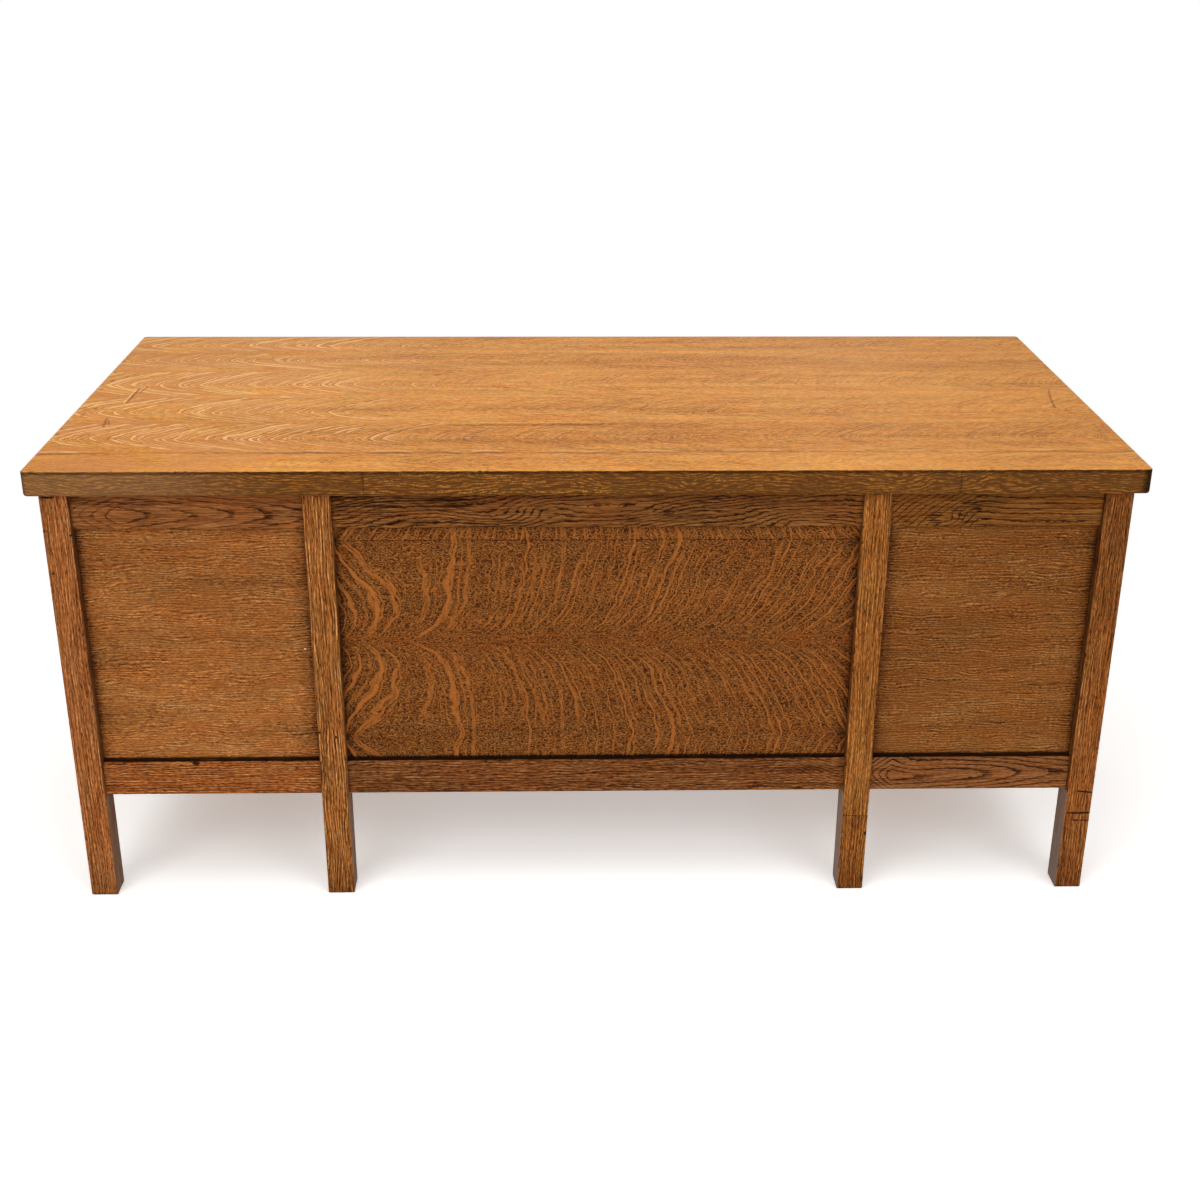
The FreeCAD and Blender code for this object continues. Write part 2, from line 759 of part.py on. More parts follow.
def make_drawer(name, bay_west, bay_width, floor, opening, length, tails, knob_shares):
    width = less(bay_width, "2 * side_gap")
    height = less(opening, "running_gap", "side_top_gap")
    corner = (total(bay_west, "side_gap"), less("front_face", length), total(floor, "running_gap"))
    shoulder = less(length, "front_thick")
    right_x = less(width, "side_thick")
    bottom_top = "bottom_rise + bottom_thick"
    back_height = less(height, "back_drop", bottom_top)
    panel_x = "side_thick - bottom_groove"
    panel_width = less(width, times(2, panel_x))

    front = new_body(name + "_drawer_front", corner)
    block(front, "board", "Additive", (width, "front_thick", less(opening, "2 * front_gap")),
          (0, shoulder, "front_gap - running_gap"))
    for x in (0, right_x):
        dovetails(front, "Subtractive", x, shoulder, 0, height, tails, "front")
    block(front, "groove", "Subtractive", (panel_width, "bottom_groove", "bottom_thick"),
          (panel_x, shoulder, "bottom_rise"))
    knobs = []
    for number, share in enumerate(knob_shares, 1):
        x = times(share, width)
        z = less(half(opening), "running_gap")
        bore(front, "knob_hole_%d" % number, "spigot_radius", "front_thick", (x, shoulder, z), "y")
        knobs.append(knob("%s_knob_%d" % (name, number),
                          (total(corner[0], x), "front_face - front_thick", total(corner[2], z))))
    parts[front.Label] = front

    box = []
    for side, x, groove_x in (("left", 0, panel_x), ("right", right_x, right_x)):
        body = new_body("%s_drawer_%s_side" % (name, side), corner)
        block(body, "board", "Additive", ("side_thick", less(shoulder, "back_thick"), height),
              (x, "back_thick", 0))
        block(body, "heel", "Additive", ("side_thick", "back_thick", bottom_top), (x, 0, 0))
        dovetails(body, "Additive", x, shoulder, 0, height, tails, "front")
        dovetails(body, "Additive", x, 0, bottom_top, back_height, tails, "back")
        block(body, "groove", "Subtractive",
              ("bottom_groove", total(shoulder, "bottom_groove"), "bottom_thick"),
              (groove_x, 0, "bottom_rise"))
        box.append(body)
    back = new_body(name + "_drawer_back", corner)
    block(back, "board", "Additive", (width, "back_thick", back_height), (0, 0, bottom_top))
    for x in (0, right_x):
        dovetails(back, "Subtractive", x, 0, bottom_top, back_height, tails, "back")
    box.append(back)
    bottom = new_body(name + "_drawer_bottom", corner)
    block(bottom, "panel", "Additive",
          (less(panel_width, "2 * bottom_play"), total(shoulder, "bottom_groove"), "bottom_thick"),
          (total(panel_x, "bottom_play"), 0, "bottom_rise"))
    box.append(bottom)
    group(name + "_drawer_box", box)
    if len(knobs) == 1:
        knobs[0].Label = name + "_drawer_knob"
        parts[knobs[0].Label] = knobs[0]
    else:
        group(name + "_drawer_knobs", knobs)


def make_slide(name, bay_west, bay_width):
    """A pull-out board with a lip along its front, grooved below for the fingers."""
    width = less(bay_width, "2 * side_gap")
    corner = (total(bay_west, "side_gap"), "front_face - slide_length", "slot_floor + running_gap")
    board = new_body(name + "_slide_board", corner)
    block(board, "board", "Additive", (width, "slide_length - lip_depth", "slide_thick"))
    lip = new_body(name + "_slide_lip", corner)
    block(lip, "strip", "Additive", (width, "lip_depth", "slide_thick"),
          (0, "slide_length - lip_depth", 0))
    block(lip, "finger_groove", "Subtractive", ("finger_width", "finger_depth", "finger_rise"),
          (less(half(width), "finger_width / 2"), "slide_length - finger_setback - finger_depth", 0))
    group(name + "_writing_slide", [board, lip])


def check_and_write():
    doc.recompute()
    for thing in doc.Objects:
        if "Invalid" in thing.State or "Error" in thing.State:
            raise RuntimeError("%s did not build: %s" % (thing.Label, thing.State))
    for label, thing in sorted(parts.items()):
        if thing.Shape.isNull() or not thing.Shape.isValid() or not thing.Shape.Solids:
            raise RuntimeError("%s has no valid solid" % label)
    os.makedirs("parts", exist_ok=True)
    for label, thing in sorted(parts.items()):
        thing.Shape.exportStep("parts/%s.step" % label)
        print("%-34s %2d solids" % (label, len(thing.Shape.Solids)))
    print(len(parts), "nodes")


make_posts()
make_back()
make_sides()
make_front_rails()
make_runners()
make_stops()
make_buttons()
make_screws()
make_top()
for drawer in DRAWERS:
    make_drawer(*drawer)
make_slide("left", "left_bay_west", "left_bay_width")
make_slide("right", "right_bay_west", "right_bay_width")
check_and_write()
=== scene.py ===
"""Oak pedestal desk: the looks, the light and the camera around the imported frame."""
import math

import bpy
from mathutils import Matrix, Vector


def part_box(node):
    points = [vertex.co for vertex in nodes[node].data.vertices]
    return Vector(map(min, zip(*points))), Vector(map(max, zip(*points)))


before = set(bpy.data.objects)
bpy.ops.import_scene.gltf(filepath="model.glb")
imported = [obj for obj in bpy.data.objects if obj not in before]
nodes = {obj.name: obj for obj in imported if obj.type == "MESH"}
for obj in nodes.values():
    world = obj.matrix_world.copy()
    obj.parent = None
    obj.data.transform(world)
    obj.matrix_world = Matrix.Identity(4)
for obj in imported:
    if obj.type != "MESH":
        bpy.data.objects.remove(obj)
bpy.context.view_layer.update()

# Millimetres in a metre: objects are in metres, the wood's figure is in millimetres
MM = 1000.0

# The tone that leaves a colour as it is
UNTONED = (1.0, 1.0, 1.0)

# How far noise and cells move for each layer and each seed, so that no two figures are the same
LAYER_STEP = 7.31
SEED_STEP = 13.73
CELL_LAYER_STEP = 31.7
CELL_SEED_STEP = 5.3

# Two ways to sharpen noise: lines that break off here and there, and crisp light and dark
BROKEN = (-0.3, 0.2)
CRISP = (-0.32, 0.32)

scene = bpy.context.scene


def linear(rgb):
    """An sRGB colour of 0 to 255 as the linear values that shaders take."""
    shares = [c / 255.0 for c in rgb]
    return [c / 12.92 if c <= 0.04045 else ((c + 0.055) / 1.055) ** 2.4 for c in shares]


def paint(rgb, tone=UNTONED):
    """A shader colour, with each channel lifted or lowered by the piece's tone."""
    return [min(c * t, 0.95) for c, t in zip(linear(rgb), tone)] + [1.0]


class Val:
    """A number that a node tree works out. Arithmetic on it adds Math nodes."""

    def __init__(self, tree, socket):
        self.tree = tree
        self.socket = socket

    def __add__(self, other):
        return self.tree.math("ADD", self, other)

    def __sub__(self, other):
        return self.tree.math("SUBTRACT", self, other)

    def __rsub__(self, other):
        return self.tree.math("SUBTRACT", other, self)

    def __mul__(self, other):
        return self.tree.math("MULTIPLY", self, other)

    def __truediv__(self, other):
        return self.tree.math("DIVIDE", self, other)

    __radd__ = __add__


class Tree:
    """A material's node tree, with a short call for each kind of node in use."""

    def __init__(self, name, seed=0):
        self.material = bpy.data.materials.new(name)
        self.material.use_nodes = True
        self.nodes = self.material.node_tree.nodes
        self.links = self.material.node_tree.links
        self.nodes.clear()
        self.seed = seed
        self.layer = 0

    def put(self, socket, value):
        if isinstance(value, Val):
            self.links.new(value.socket, socket)
        else:
            socket.default_value = value

    def add(self, kind, *values, **settings):
        """A node with its settings made and its first inputs filled."""
        node = self.nodes.new(kind)
        for name, setting in settings.items():
            setattr(node, name, setting)
        for socket, value in zip(node.inputs, values):
            if value is not None:
                self.put(socket, value)
        return Val(self, node.outputs[0])

    def math(self, operation, *values):
        return self.add("ShaderNodeMath", *values, operation=operation)

    def ease(self, value, low, high):
        """0 at low and 1 at high, with a soft start and end."""
        return self.add("ShaderNodeMapRange", value, low, high, 0.0, 1.0,
                        interpolation_type="SMOOTHSTEP")

    def join(self, x, y, z):
        return self.add("ShaderNodeCombineXYZ", x, y, z)

    def split(self, vector):
        node = self.nodes.new("ShaderNodeSeparateXYZ")
        self.put(node.inputs[0], vector)
        return [Val(self, output) for output in node.outputs]

    def place(self):
        """The point's x, y and z on the desk, in millimetres."""
        node = self.nodes.new("ShaderNodeTexCoord")
        return [part * MM for part in self.split(Val(self, node.outputs["Object"]))]

    def facing(self):
        """The surface's direction, each part from 0 to 1 whatever its sign."""
        node = self.nodes.new("ShaderNodeTexCoord")
        return [self.math("ABSOLUTE", part)
                for part in self.split(Val(self, node.outputs["Normal"]))]

    def lumps(self, where, size, detail=2.0):
        """Noise around 0, mostly within 0.5 of it, whose lumps have this size in millimetres."""
        self.layer += 1
        shift = self.layer * LAYER_STEP + self.seed * SEED_STEP
        scaled = self.add("ShaderNodeVectorMath", where, [1.0 / s for s in size],
                          (shift, shift * 1.7, shift * 2.3), operation="MULTIPLY_ADD")
        noise = self.nodes.new("ShaderNodeTexNoise")
        self.put(noise.inputs["Vector"], scaled)
        noise.inputs["Scale"].default_value = 1.0
        noise.inputs["Detail"].default_value = detail
        return Val(self, noise.outputs[0]) * 2.0 - 1.0

    def cells(self, position):
        """Uneven steps along a line: the distance to the nearest middle, and three chances of its own."""
        node = self.nodes.new("ShaderNodeTexVoronoi")
        node.voronoi_dimensions = "1D"
        self.layer += 1
        self.put(node.inputs["W"], position + (self.layer * CELL_LAYER_STEP + self.seed * CELL_SEED_STEP))
        node.inputs["Scale"].default_value = 1.0
        node.inputs["Randomness"].default_value = 0.9
        chances = self.split(Val(self, node.outputs["Color"]))
        return Val(self, node.outputs["Distance"]), chances

    def chance(self, number):
        """A number from 0 to 1 that depends only on a whole number."""
        return self.add("ShaderNodeTexWhiteNoise", None, number, noise_dimensions="1D")

    def mix(self, first, second, share, kind="MIX"):
        node = self.nodes.new("ShaderNodeMix")
        node.data_type = "RGBA"
        node.blend_type = kind
        self.put(node.inputs[0], share)
        self.put(node.inputs[6], first)
        self.put(node.inputs[7], second)
        return Val(self, node.outputs[2])

    def ramp(self, value, stops):
        """Colours along a scale from 0 to 1."""
        node = self.nodes.new("ShaderNodeValToRGB")
        self.put(node.inputs[0], value)
        elements = node.color_ramp.elements
        while len(elements) < len(stops):
            elements.new(0.5)
        for element, (position, colour) in zip(elements, stops):
            element.position = position
            element.color = colour
        return Val(self, node.outputs[0])

    def surface(self, colour, rough, height=None, metallic=0.0, shine=0.5):
        """The finished shader. Height is in millimetres."""
        shader = self.nodes.new("ShaderNodeBsdfPrincipled")
        shader.inputs["Specular IOR Level"].default_value = shine
        self.put(shader.inputs["Base Color"], colour)
        self.put(shader.inputs["Roughness"], rough)
        self.put(shader.inputs["Metallic"], metallic)
        if height is not None:
            bump = self.nodes.new("ShaderNodeBump")
            bump.inputs["Distance"].default_value = 1.0 / MM
            bump.inputs["Strength"].default_value = 1.0
            self.put(bump.inputs["Height"], height)
            self.links.new(bump.outputs[0], shader.inputs["Normal"])
        end = self.nodes.new("ShaderNodeOutputMaterial")
        self.links.new(shader.outputs[0], end.inputs["Surface"])
        return self.material


# Colours of the wood from the darkest pore to the palest wood, where each stands on that scale, and
# where bare wood without any figure stands
STOPS = (0.0, 0.3, 0.6, 0.85, 1.0)
MIDDLING = 0.62
OAK = ((40, 21, 8), (87, 49, 20), (152, 92, 42), (196, 128, 66), (226, 164, 98))
TOP_OAK = ((100, 56, 18), (158, 98, 38), (206, 142, 64), (228, 166, 84), (242, 192, 116))
LINING = ((120, 84, 50), (168, 126, 80), (202, 162, 112), (216, 180, 132), (228, 196, 152))
RUNNER = ((78, 50, 28), (128, 86, 50), (168, 120, 76), (186, 140, 94), (202, 160, 114))

# Marks on the wood: dirt and old polish in corners, ink, specks of paint and bare wood in scratches. The dark of
# the dirt is also painted as shade in recesses and on rounded corners
DIRT_AND_SHADE = (24, 13, 6)
INK = (20, 16, 16)
SPECK = (240, 228, 206)
SCRATCH = (126, 66, 24)

# How the hue of the wood drifts from patch to patch
COOLER = (0.97, 1.04, 1.1, 1.0)
WARMER = (1.03, 0.96, 0.9, 1.0)

# Ray flakes, and the flames where the centre panel's leaves meet
RAY_GOLD = (210, 126, 58)
RAY_PALE = (247, 194, 126)
FLAME = (190, 100, 40)

# Painted shade on the legs' inner faces below the rails, the top's worn ends and seams, and the polish on the
# slab's edge
LEG_INNER_PAINTED_SHADE = {"left": (112, 84, 62), "right": (140, 124, 113)}
RUDDY = (200, 128, 76)
FADED = (205, 152, 108)
SEAM = (92, 48, 18)
EDGE_POLISH = (98, 80, 48)
EDGE_FADED = (160, 120, 84)

# Levels that marks keep to, in millimetres: the slab's two faces, the posts' back faces, the height
# below which the legs stand free, and the one below which they are scuffed dark
SLAB_TOP = 775.0
SLAB_BASE = 734.0
POST_BACK = -383.0
LEG_HEIGHT = 190.0
FOOT_HEIGHT = 80.0


class Oak(Tree):
    """Wood whose grain runs along the first of three axes and whose face looks along the last.

    value goes from 0, the darkest pore, to 1, the palest wood. height is the relief in millimetres.
    """

    def __init__(self, name, axes, seed, wander):
        super().__init__(name, seed)
        self.x, self.y, self.z = self.place()
        places = {"x": self.x, "y": self.y, "z": self.z}
        self.along, across, self.deep = [places[axis] for axis in axes]
        self.axes = axes
        plain = self.join(self.along, across, self.deep)
        self.across = across + self.lumps(plain, (240, 70, 70), detail=1.0) * wander
        self.board = self.join(self.along, self.across, self.deep)
        self.value = MIDDLING
        self.height = 0.0
        self.overlays = []
        self.unevenness = None

    def grain(self, lines=0.35, line_size=2.2, line_length=160, fine=0.35, fine_size=1.3, fine_length=22,
              pores=0.4, pore_length=11, pore_size=0.9, streaks=0.25, streak_size=22, streak_length=420):
        """Straight grain: lines, finer dashes, pores as short dark marks, and soft broad streaks."""
        line = self.ease(self.lumps(self.board, (line_length, line_size, line_size)), *CRISP) - 0.5
        dash = self.ease(self.lumps(self.board, (fine_length, fine_size, fine_size)), *CRISP) - 0.5
        streak = self.lumps(self.board, (streak_length, streak_size, streak_size * 2))
        pore = self.ease(self.lumps(self.board, (pore_length, pore_size, pore_size), detail=1.0), 0.12, 0.38)
        self.value = line * lines + dash * fine + streak * streaks - pore * pores + self.value
        self.height = pore * -0.12 + line * 0.05 + self.height

    def lined(self, strength, length, spacing=4.9):
        """Fine lines at an almost even spacing, broken along their length."""
        drift = self.lumps(self.board, (length * 3, spacing * 4, spacing * 4), detail=1.0) * (spacing * 1.6)
        phase = self.math("FRACT", (self.across + drift) / spacing)
        line = self.ease(self.math("ABSOLUTE", phase - 0.5), 0.1, 0.4)
        broken = self.ease(self.lumps(self.board, (length, spacing * 1.1, spacing), detail=1.0), *BROKEN)
        self.value = self.value + (0.5 - line) * broken * strength
        self.height = self.height - line * broken * 0.05

    def rings(self, spacing, middle, depth, peak=0.0, slope_up=0.1, slope_down=0.4, strength=0.35,
              sway=8.0, jag=1.2, swirls=(), share=0.3):
        """Flat-sawn figure: growth rings cut at a low angle, which draw arches and ovals.

        The tree's heart lies at middle, across the board, and at depth. The arches point at the peak,
        along the board, and the share is how much of each ring is dark. A swirl has its place along
        and across, its length, its width, and how far it lifts the rings.
        """
        reach = self.math("SQRT", (self.across - middle) * (self.across - middle)
                          + (self.deep - depth) * (self.deep - depth))
        past = self.math("MAXIMUM", self.along - peak, 0.0)
        before = self.math("MAXIMUM", peak - self.along, 0.0)
        reach = reach + past * slope_up + before * slope_down
        reach = reach + self.lumps(self.board, (170, 50, 50), detail=1.0) * sway
        reach = reach + self.lumps(self.board, (9, 5, 5), detail=2.0) * jag
        for along, across, long, wide, lift in swirls:
            far = self.math("POWER", (self.along - along) / long, 2.0)
            off = self.math("POWER", (self.across - across) / wide, 2.0)
            reach = reach + self.math("EXPONENT", 0.0 - (far + off)) * lift
        phase = self.math("FRACT", reach / spacing)
        early = self.ease(phase, 0.0, 0.05) * self.ease(phase, share + 0.12, share * 0.4)
        broken = self.ease(self.lumps(self.board, (18, 1.6, 1.6), detail=1.0), *BROKEN)
        present = self.ease(self.lumps(self.board, (110, 14, 14)), -0.4, 0.2)
        thin = self.ease(self.math("ABSOLUTE", self.across - middle), 0.0, 3.5)
        dark = early * (broken * 0.6 + 0.4) * (present * 0.7 + 0.3) * (thin * 0.5 + 0.5)
        self.value = self.value + dark * (-strength) + phase * 0.06
        self.height = self.height - dark * 0.08

    def rays(self, line, run, spacing, width, ends, most, tips=12.0, shade=0.1, broad=1.0):
        """Ray flakes: ragged bands at uneven spacing. line counts across them and run along them.

        A flake starts at a chance place before the first of the ends, and stops at one between the
        second and most. The wood beside it is darker by the shade.
        """
        ragged = self.lumps(self.join(line, run, 0.0), (5, 11, 9), detail=2.0) * (width * 0.35)
        ragged = ragged + self.lumps(self.join(line, run, 0.0), (30, 26, 9), detail=1.0) * (width * 1.1)
        distance, (first, second, third) = self.cells((line + ragged) / spacing)
        half = (first * 1.1 + 0.35) * (width * 0.5 / spacing) * broad
        swell = self.lumps(self.join(line, run, 0.0), (spacing, 36, 9), detail=1.0) * 0.9 + 0.8
        band = self.ease(distance, half * swell, half * swell * 0.5)
        beside = self.ease(distance, half * swell * 2.2, half * swell)
        low = second * ends[0]
        high = third * (most - ends[1]) + ends[1]
        reach = self.ease(run, low - 2.0, low + tips) * self.ease(run, high + tips, high - tips)
        streaky = self.ease(self.lumps(self.join(line, run, 0.0), (2.0, 34, 9)), *BROKEN)
        reach = reach * (third * 0.45 + 0.55) * (streaky * 0.35 + 0.65)
        self.value = self.value - (beside - band) * reach * shade
        return band * reach

    def lay(self, colour, share, tone=False):
        """A colour over the wood, from 0, none, to 1, all. Layers of one colour in a row make one layer."""
        bare = 1.0 - share
        if self.overlays and self.overlays[-1][0] == colour and self.overlays[-1][2] == tone:
            bare = self.overlays.pop()[1] * bare
        self.overlays.append((colour, bare, tone))

    def edge(self, low, high):
        """Distance in millimetres to the nearest arris of a box."""
        gaps = []
        for place, near, far in zip((self.x, self.y, self.z), low, high):
            gaps.append(self.math("MINIMUM", place - near * MM, far * MM - place))
        least = self.math("MINIMUM", self.math("MINIMUM", gaps[0], gaps[1]), gaps[2])
        most = self.math("MAXIMUM", self.math("MAXIMUM", gaps[0], gaps[1]), gaps[2])
        return gaps[0] + gaps[1] + gaps[2] - least - most

    def worn_edges(self, low, high, rub=0.35, dents=0.8):
        """Arrises rubbed pale, with dark dents in them."""
        edge = self.edge(low, high)
        here = self.join(self.x, self.y, self.z)
        rubbed = self.ease(edge + self.lumps(here, (30, 30, 30)) * 3.0, 3.0, 0.0)
        self.value = self.value + rubbed * (rub * 0.3)
        dent = self.ease(self.lumps(here, (9, 9, 11), detail=2.0), 0.22, 0.42)
        dent = dent * self.ease(edge, 5.5, 1.0)
        self.lay(DIRT_AND_SHADE, dent * dents)
        self.height = self.height - dent * 0.5

    def face(self, top):
        """The height or depth that a mark is placed by, and where it shows: the top or the back."""
        if top:
            return self.y, self.ease(self.z, SLAB_TOP - 3.0, SLAB_TOP - 1.0)
        return self.z, self.ease(self.y, POST_BACK + 3.0, POST_BACK)

    def uneven(self):
        """Noise in lumps of 9, 7 and 4 mm that all of a piece's marks share."""
        if self.unevenness is None:
            here = self.join(self.x, self.y, self.z)
            self.unevenness = [self.lumps(here, (size, size, size)) for size in (9, 7, 4)]
        return self.unevenness

    def dot(self, x, z, size=2.2, tall=None, strength=0.9, colour=DIRT_AND_SHADE, ragged=0.5, top=False):
        """A small mark on the back, or on the top at x and y."""
        level, shown = self.face(top)
        across = self.math("POWER", (self.x - x) / size, 2.0)
        off = across + self.math("POWER", (level - z) / (tall or size), 2.0)
        off = off + self.uneven()[2] * ragged
        self.lay(colour, self.ease(off, 1.3, 0.5) * shown * strength)

    def dash(self, x0, z0, x1, z1, width=1.3, strength=0.7, colour=DIRT_AND_SHADE, broken=0.6, top=False):
        """A thin dark line on the back, or on the top, from one place to another."""
        level, shown = self.face(top)
        long = math.hypot(x1 - x0, z1 - z0)
        ux, uz = (x1 - x0) / long, (z1 - z0) / long
        run = (self.x - x0) * ux + (level - z0) * uz
        wobble, breaks, _ = self.uneven()
        off = self.math("ABSOLUTE", (self.x - x0) * uz - (level - z0) * ux + wobble * 1.2)
        mark = self.ease(off, width, width * 0.3) * self.ease(run, -1.0, 1.5)
        mark = mark * self.ease(run, long + 1.0, long - 1.5)
        mark = mark * (self.ease(breaks, -0.3, 0.1) * broken + (1.0 - broken))
        self.lay(colour, mark * shown * strength)

    def end_grain(self, strength=0.16):
        """Sawn ends drink more polish and go darker."""
        facing = dict(zip("xyz", self.facing()))[self.axes[0]]
        self.value = self.value - self.ease(facing, 0.75, 0.95) * strength

    def done(self, palette, tone=UNTONED, rough=0.5, shine=0.04):
        """The finished material: the palette along value, then the laid colours over it in turn."""
        colour = self.ramp(self.value, [(at, paint(rgb, tone)) for at, rgb in zip(STOPS, palette)])
        turn = self.ease(self.lumps(self.board, (90, 28, 28)), -0.4, 0.4)
        hue = self.mix(COOLER, WARMER, turn)
        colour = self.mix(colour, hue, 1.0, "MULTIPLY")
        for over, bare, toned in self.overlays:
            colour = self.mix(paint(over, tone if toned else UNTONED), colour, bare)
        gloss = self.lumps(self.board, (60, 30, 30))
        matt = self.value * -0.12 + gloss * 0.08 + (rough + 0.06)
        return self.surface(colour, matt, self.height, shine=shine)


def dress(name, material):
    """Gives a piece of the frame its material."""
    piece = nodes[name]
    piece.data.materials.clear()
    piece.data.materials.append(material)


def corners(name):
    """The lowest and the highest corner of a piece's box, in metres."""
    low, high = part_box(name)
    return list(low), list(high)


# How each piece's colour differs from plain oak, in red, green and blue
TONES = {
    "back_post_left_outer": (1.20, 1.14, 1.34),
    "back_post_left_inner": (1.08, 1.06, 1.04),
    "back_post_right_inner": (1.15, 1.12, 0.96),
    "back_post_right_outer": (0.94, 0.86, 0.80),
    "back_top_rail_left": (0.92, 0.90, 1.08),
    "back_top_rail_centre": (0.75, 0.76, 0.78),
    "back_top_rail_right": (0.75, 0.75, 0.62),
    "back_bottom_rail_left": (1.05, 0.90, 0.88),
    "back_bottom_rail_centre": (0.64, 0.59, 0.65),
    "back_bottom_rail_right": (0.84, 0.84, 1.05),
    "back_panel_left": (1.08, 1.08, 1.14),
    "back_panel_right": (0.76, 0.74, 0.70),
    "back_panel_centre": (0.85, 0.82, 0.76),
    "top_boards": (1.08, 0.98, 0.77),
}
PLAIN = (0.99, 0.92, 0.83)
USER_SIDE = (1.14, 1.08, 1.05)
KNOB = (0.82, 0.68, 0.48)
LINING_TONE = (1.06, 0.98, 0.88)

# The posts

POSTS = [end + "_post_" + place for end in ("back", "front")
         for place in ("left_outer", "left_inner", "right_inner", "right_outer")]


def post_marks(oak, name):
    """Nail holes, chips, stains and the old patches on the back posts."""
    if name == "back_post_left_outer":
        oak.dot(-845, 729, 13, 4, 0.95, INK)
        oak.dot(-857, 671, 2.5)
        oak.dot(-851, 599, 2.2)
        oak.dot(-816, 664, 2.5)
    if name == "back_post_left_inner":
        oak.dot(-448, 313, 2.4)
        oak.dot(-421, 304, 2.4)
        oak.dot(-428, 731, 12, 3, 0.9)
    if name == "back_post_right_inner":
        oak.dot(449, 731, 13, 3.5, 0.9)
        oak.dash(432, 148, 476, 146, 1.2, 0.75)
        oak.dash(465, 144, 464, 118, 1.1, 0.6)
        oak.dot(474, 112, 3, 4, 0.95)
        oak.value = oak.value - oak.ease(oak.z, 148.5, 146.5) * 0.08
    if name == "back_post_right_outer":
        oak.dot(815, 731, 8, 3, 0.9)
        oak.dash(830, 192, 859, 189, 2.2, 0.95, broken=0.3)
        oak.dash(859, 190, 859, 150, 2.0, 0.85)
        oak.dash(818, 149, 860, 149, 2.6, 0.98, broken=0.3)
        oak.dash(829, 135, 859, 134, 2.2, 0.95)
        oak.dash(829, 149, 828, 135, 1.8, 0.75)
        oak.dash(857, 166, 857, 152, 1.4, 0.6)
        oak.dash(820, 121, 819, 96, 2.0, 0.7, broken=0.6)
        oak.dash(821, 92, 824, 50, 2.4, 0.6, broken=0.8)
        oak.dash(858, 130, 851, 60, 1.2, 0.5)
        oak.dot(858.5, 274, 2.5)
        oak.dot(858.5, 208, 2.8)


for seed, name in enumerate(POSTS):
    oak = Oak(name, "zxy", seed=seed + 1, wander=3.0)
    oak.grain(lines=0.24, line_size=2.1, line_length=60, fine=0.26, fine_size=1.2, fine_length=10, pores=0.36,
              pore_length=10, streaks=0.12, streak_size=14)
    oak.lined(0.42 if name.endswith("left_inner") else 0.26, length=36, spacing=4.7)
    oak.worn_edges(*corners(name))
    foot = oak.ease(oak.z + oak.lumps(oak.board, (30, 12, 12)) * 25.0, FOOT_HEIGHT, 0.0)
    oak.value = oak.value - foot * 0.12
    # Painted shade: the outer posts grow darker towards the top, the right one most
    if "outer" in name:
        oak.value = oak.value - oak.ease(oak.z, 200.0, 700.0) * (0.12 if "right" in name else 0.02)
    oak.lay(DIRT_AND_SHADE, oak.ease(oak.z, 5.0, 0.0) * 0.6)
    oak.end_grain()
    if name.startswith("back"):
        low, high = corners(name)
        middle = (low[0] + high[0]) * MM / 2.0
        half_width = (high[0] - low[0]) * MM / 2.0
        beside = oak.ease(oak.math("ABSOLUTE", oak.x - middle), half_width - 1.8, half_width - 0.7)
        inside = oak.ease(oak.x * (1.0 if middle < 0.0 else -1.0), -abs(middle) - 1.0, -abs(middle) + 1.0)
        # Painted shade: below the rails, the legs' inner side faces are coloured darker and greyer
        shade = LEG_INNER_PAINTED_SHADE["right" if "right" in name else "left"]
        oak.lay(shade, beside * inside * oak.ease(oak.z, LEG_HEIGHT + 4.0, LEG_HEIGHT) * 0.7)
        # Painted shade in a thin strip down the post's sides, where the panels and rails sit back from it
        recess_shade_strip = beside if "inner" in name else beside * inside
        oak.lay(DIRT_AND_SHADE, recess_shade_strip * oak.ease(oak.z, LEG_HEIGHT - 4.0, LEG_HEIGHT + 4.0) * 0.6)
    post_marks(oak, name)
    dress(name, oak.done(OAK, TONES.get(name, USER_SIDE)))

# The back's rails and panels

TOP_RAILS = {
    "back_top_rail_left": dict(
        spacing=7.0, middle=694, depth=-376.5, peak=-741, slope_up=0.11, slope_down=0.35, strength=0.5,
        sway=3.5, jag=1.6, share=0.18),
    "back_top_rail_centre": dict(
        spacing=5.6, middle=650, depth=-362, peak=400, slope_up=0.06, slope_down=0.10, strength=0.68,
        sway=16.0, jag=2.4, share=0.32,
        swirls=((-150, 690, 50, 22, 14), (-60, 700, 40, 18, -9), (60, 690, 60, 26, 10),
                (330, 684, 50, 18, -10))),
    "back_top_rail_right": dict(
        spacing=8.5, middle=640, depth=-364, peak=618, slope_up=0.03, slope_down=0.6, strength=0.62,
        sway=9.0, jag=2.2, share=0.2, swirls=((575, 682, 18, 10, 10),)),
}
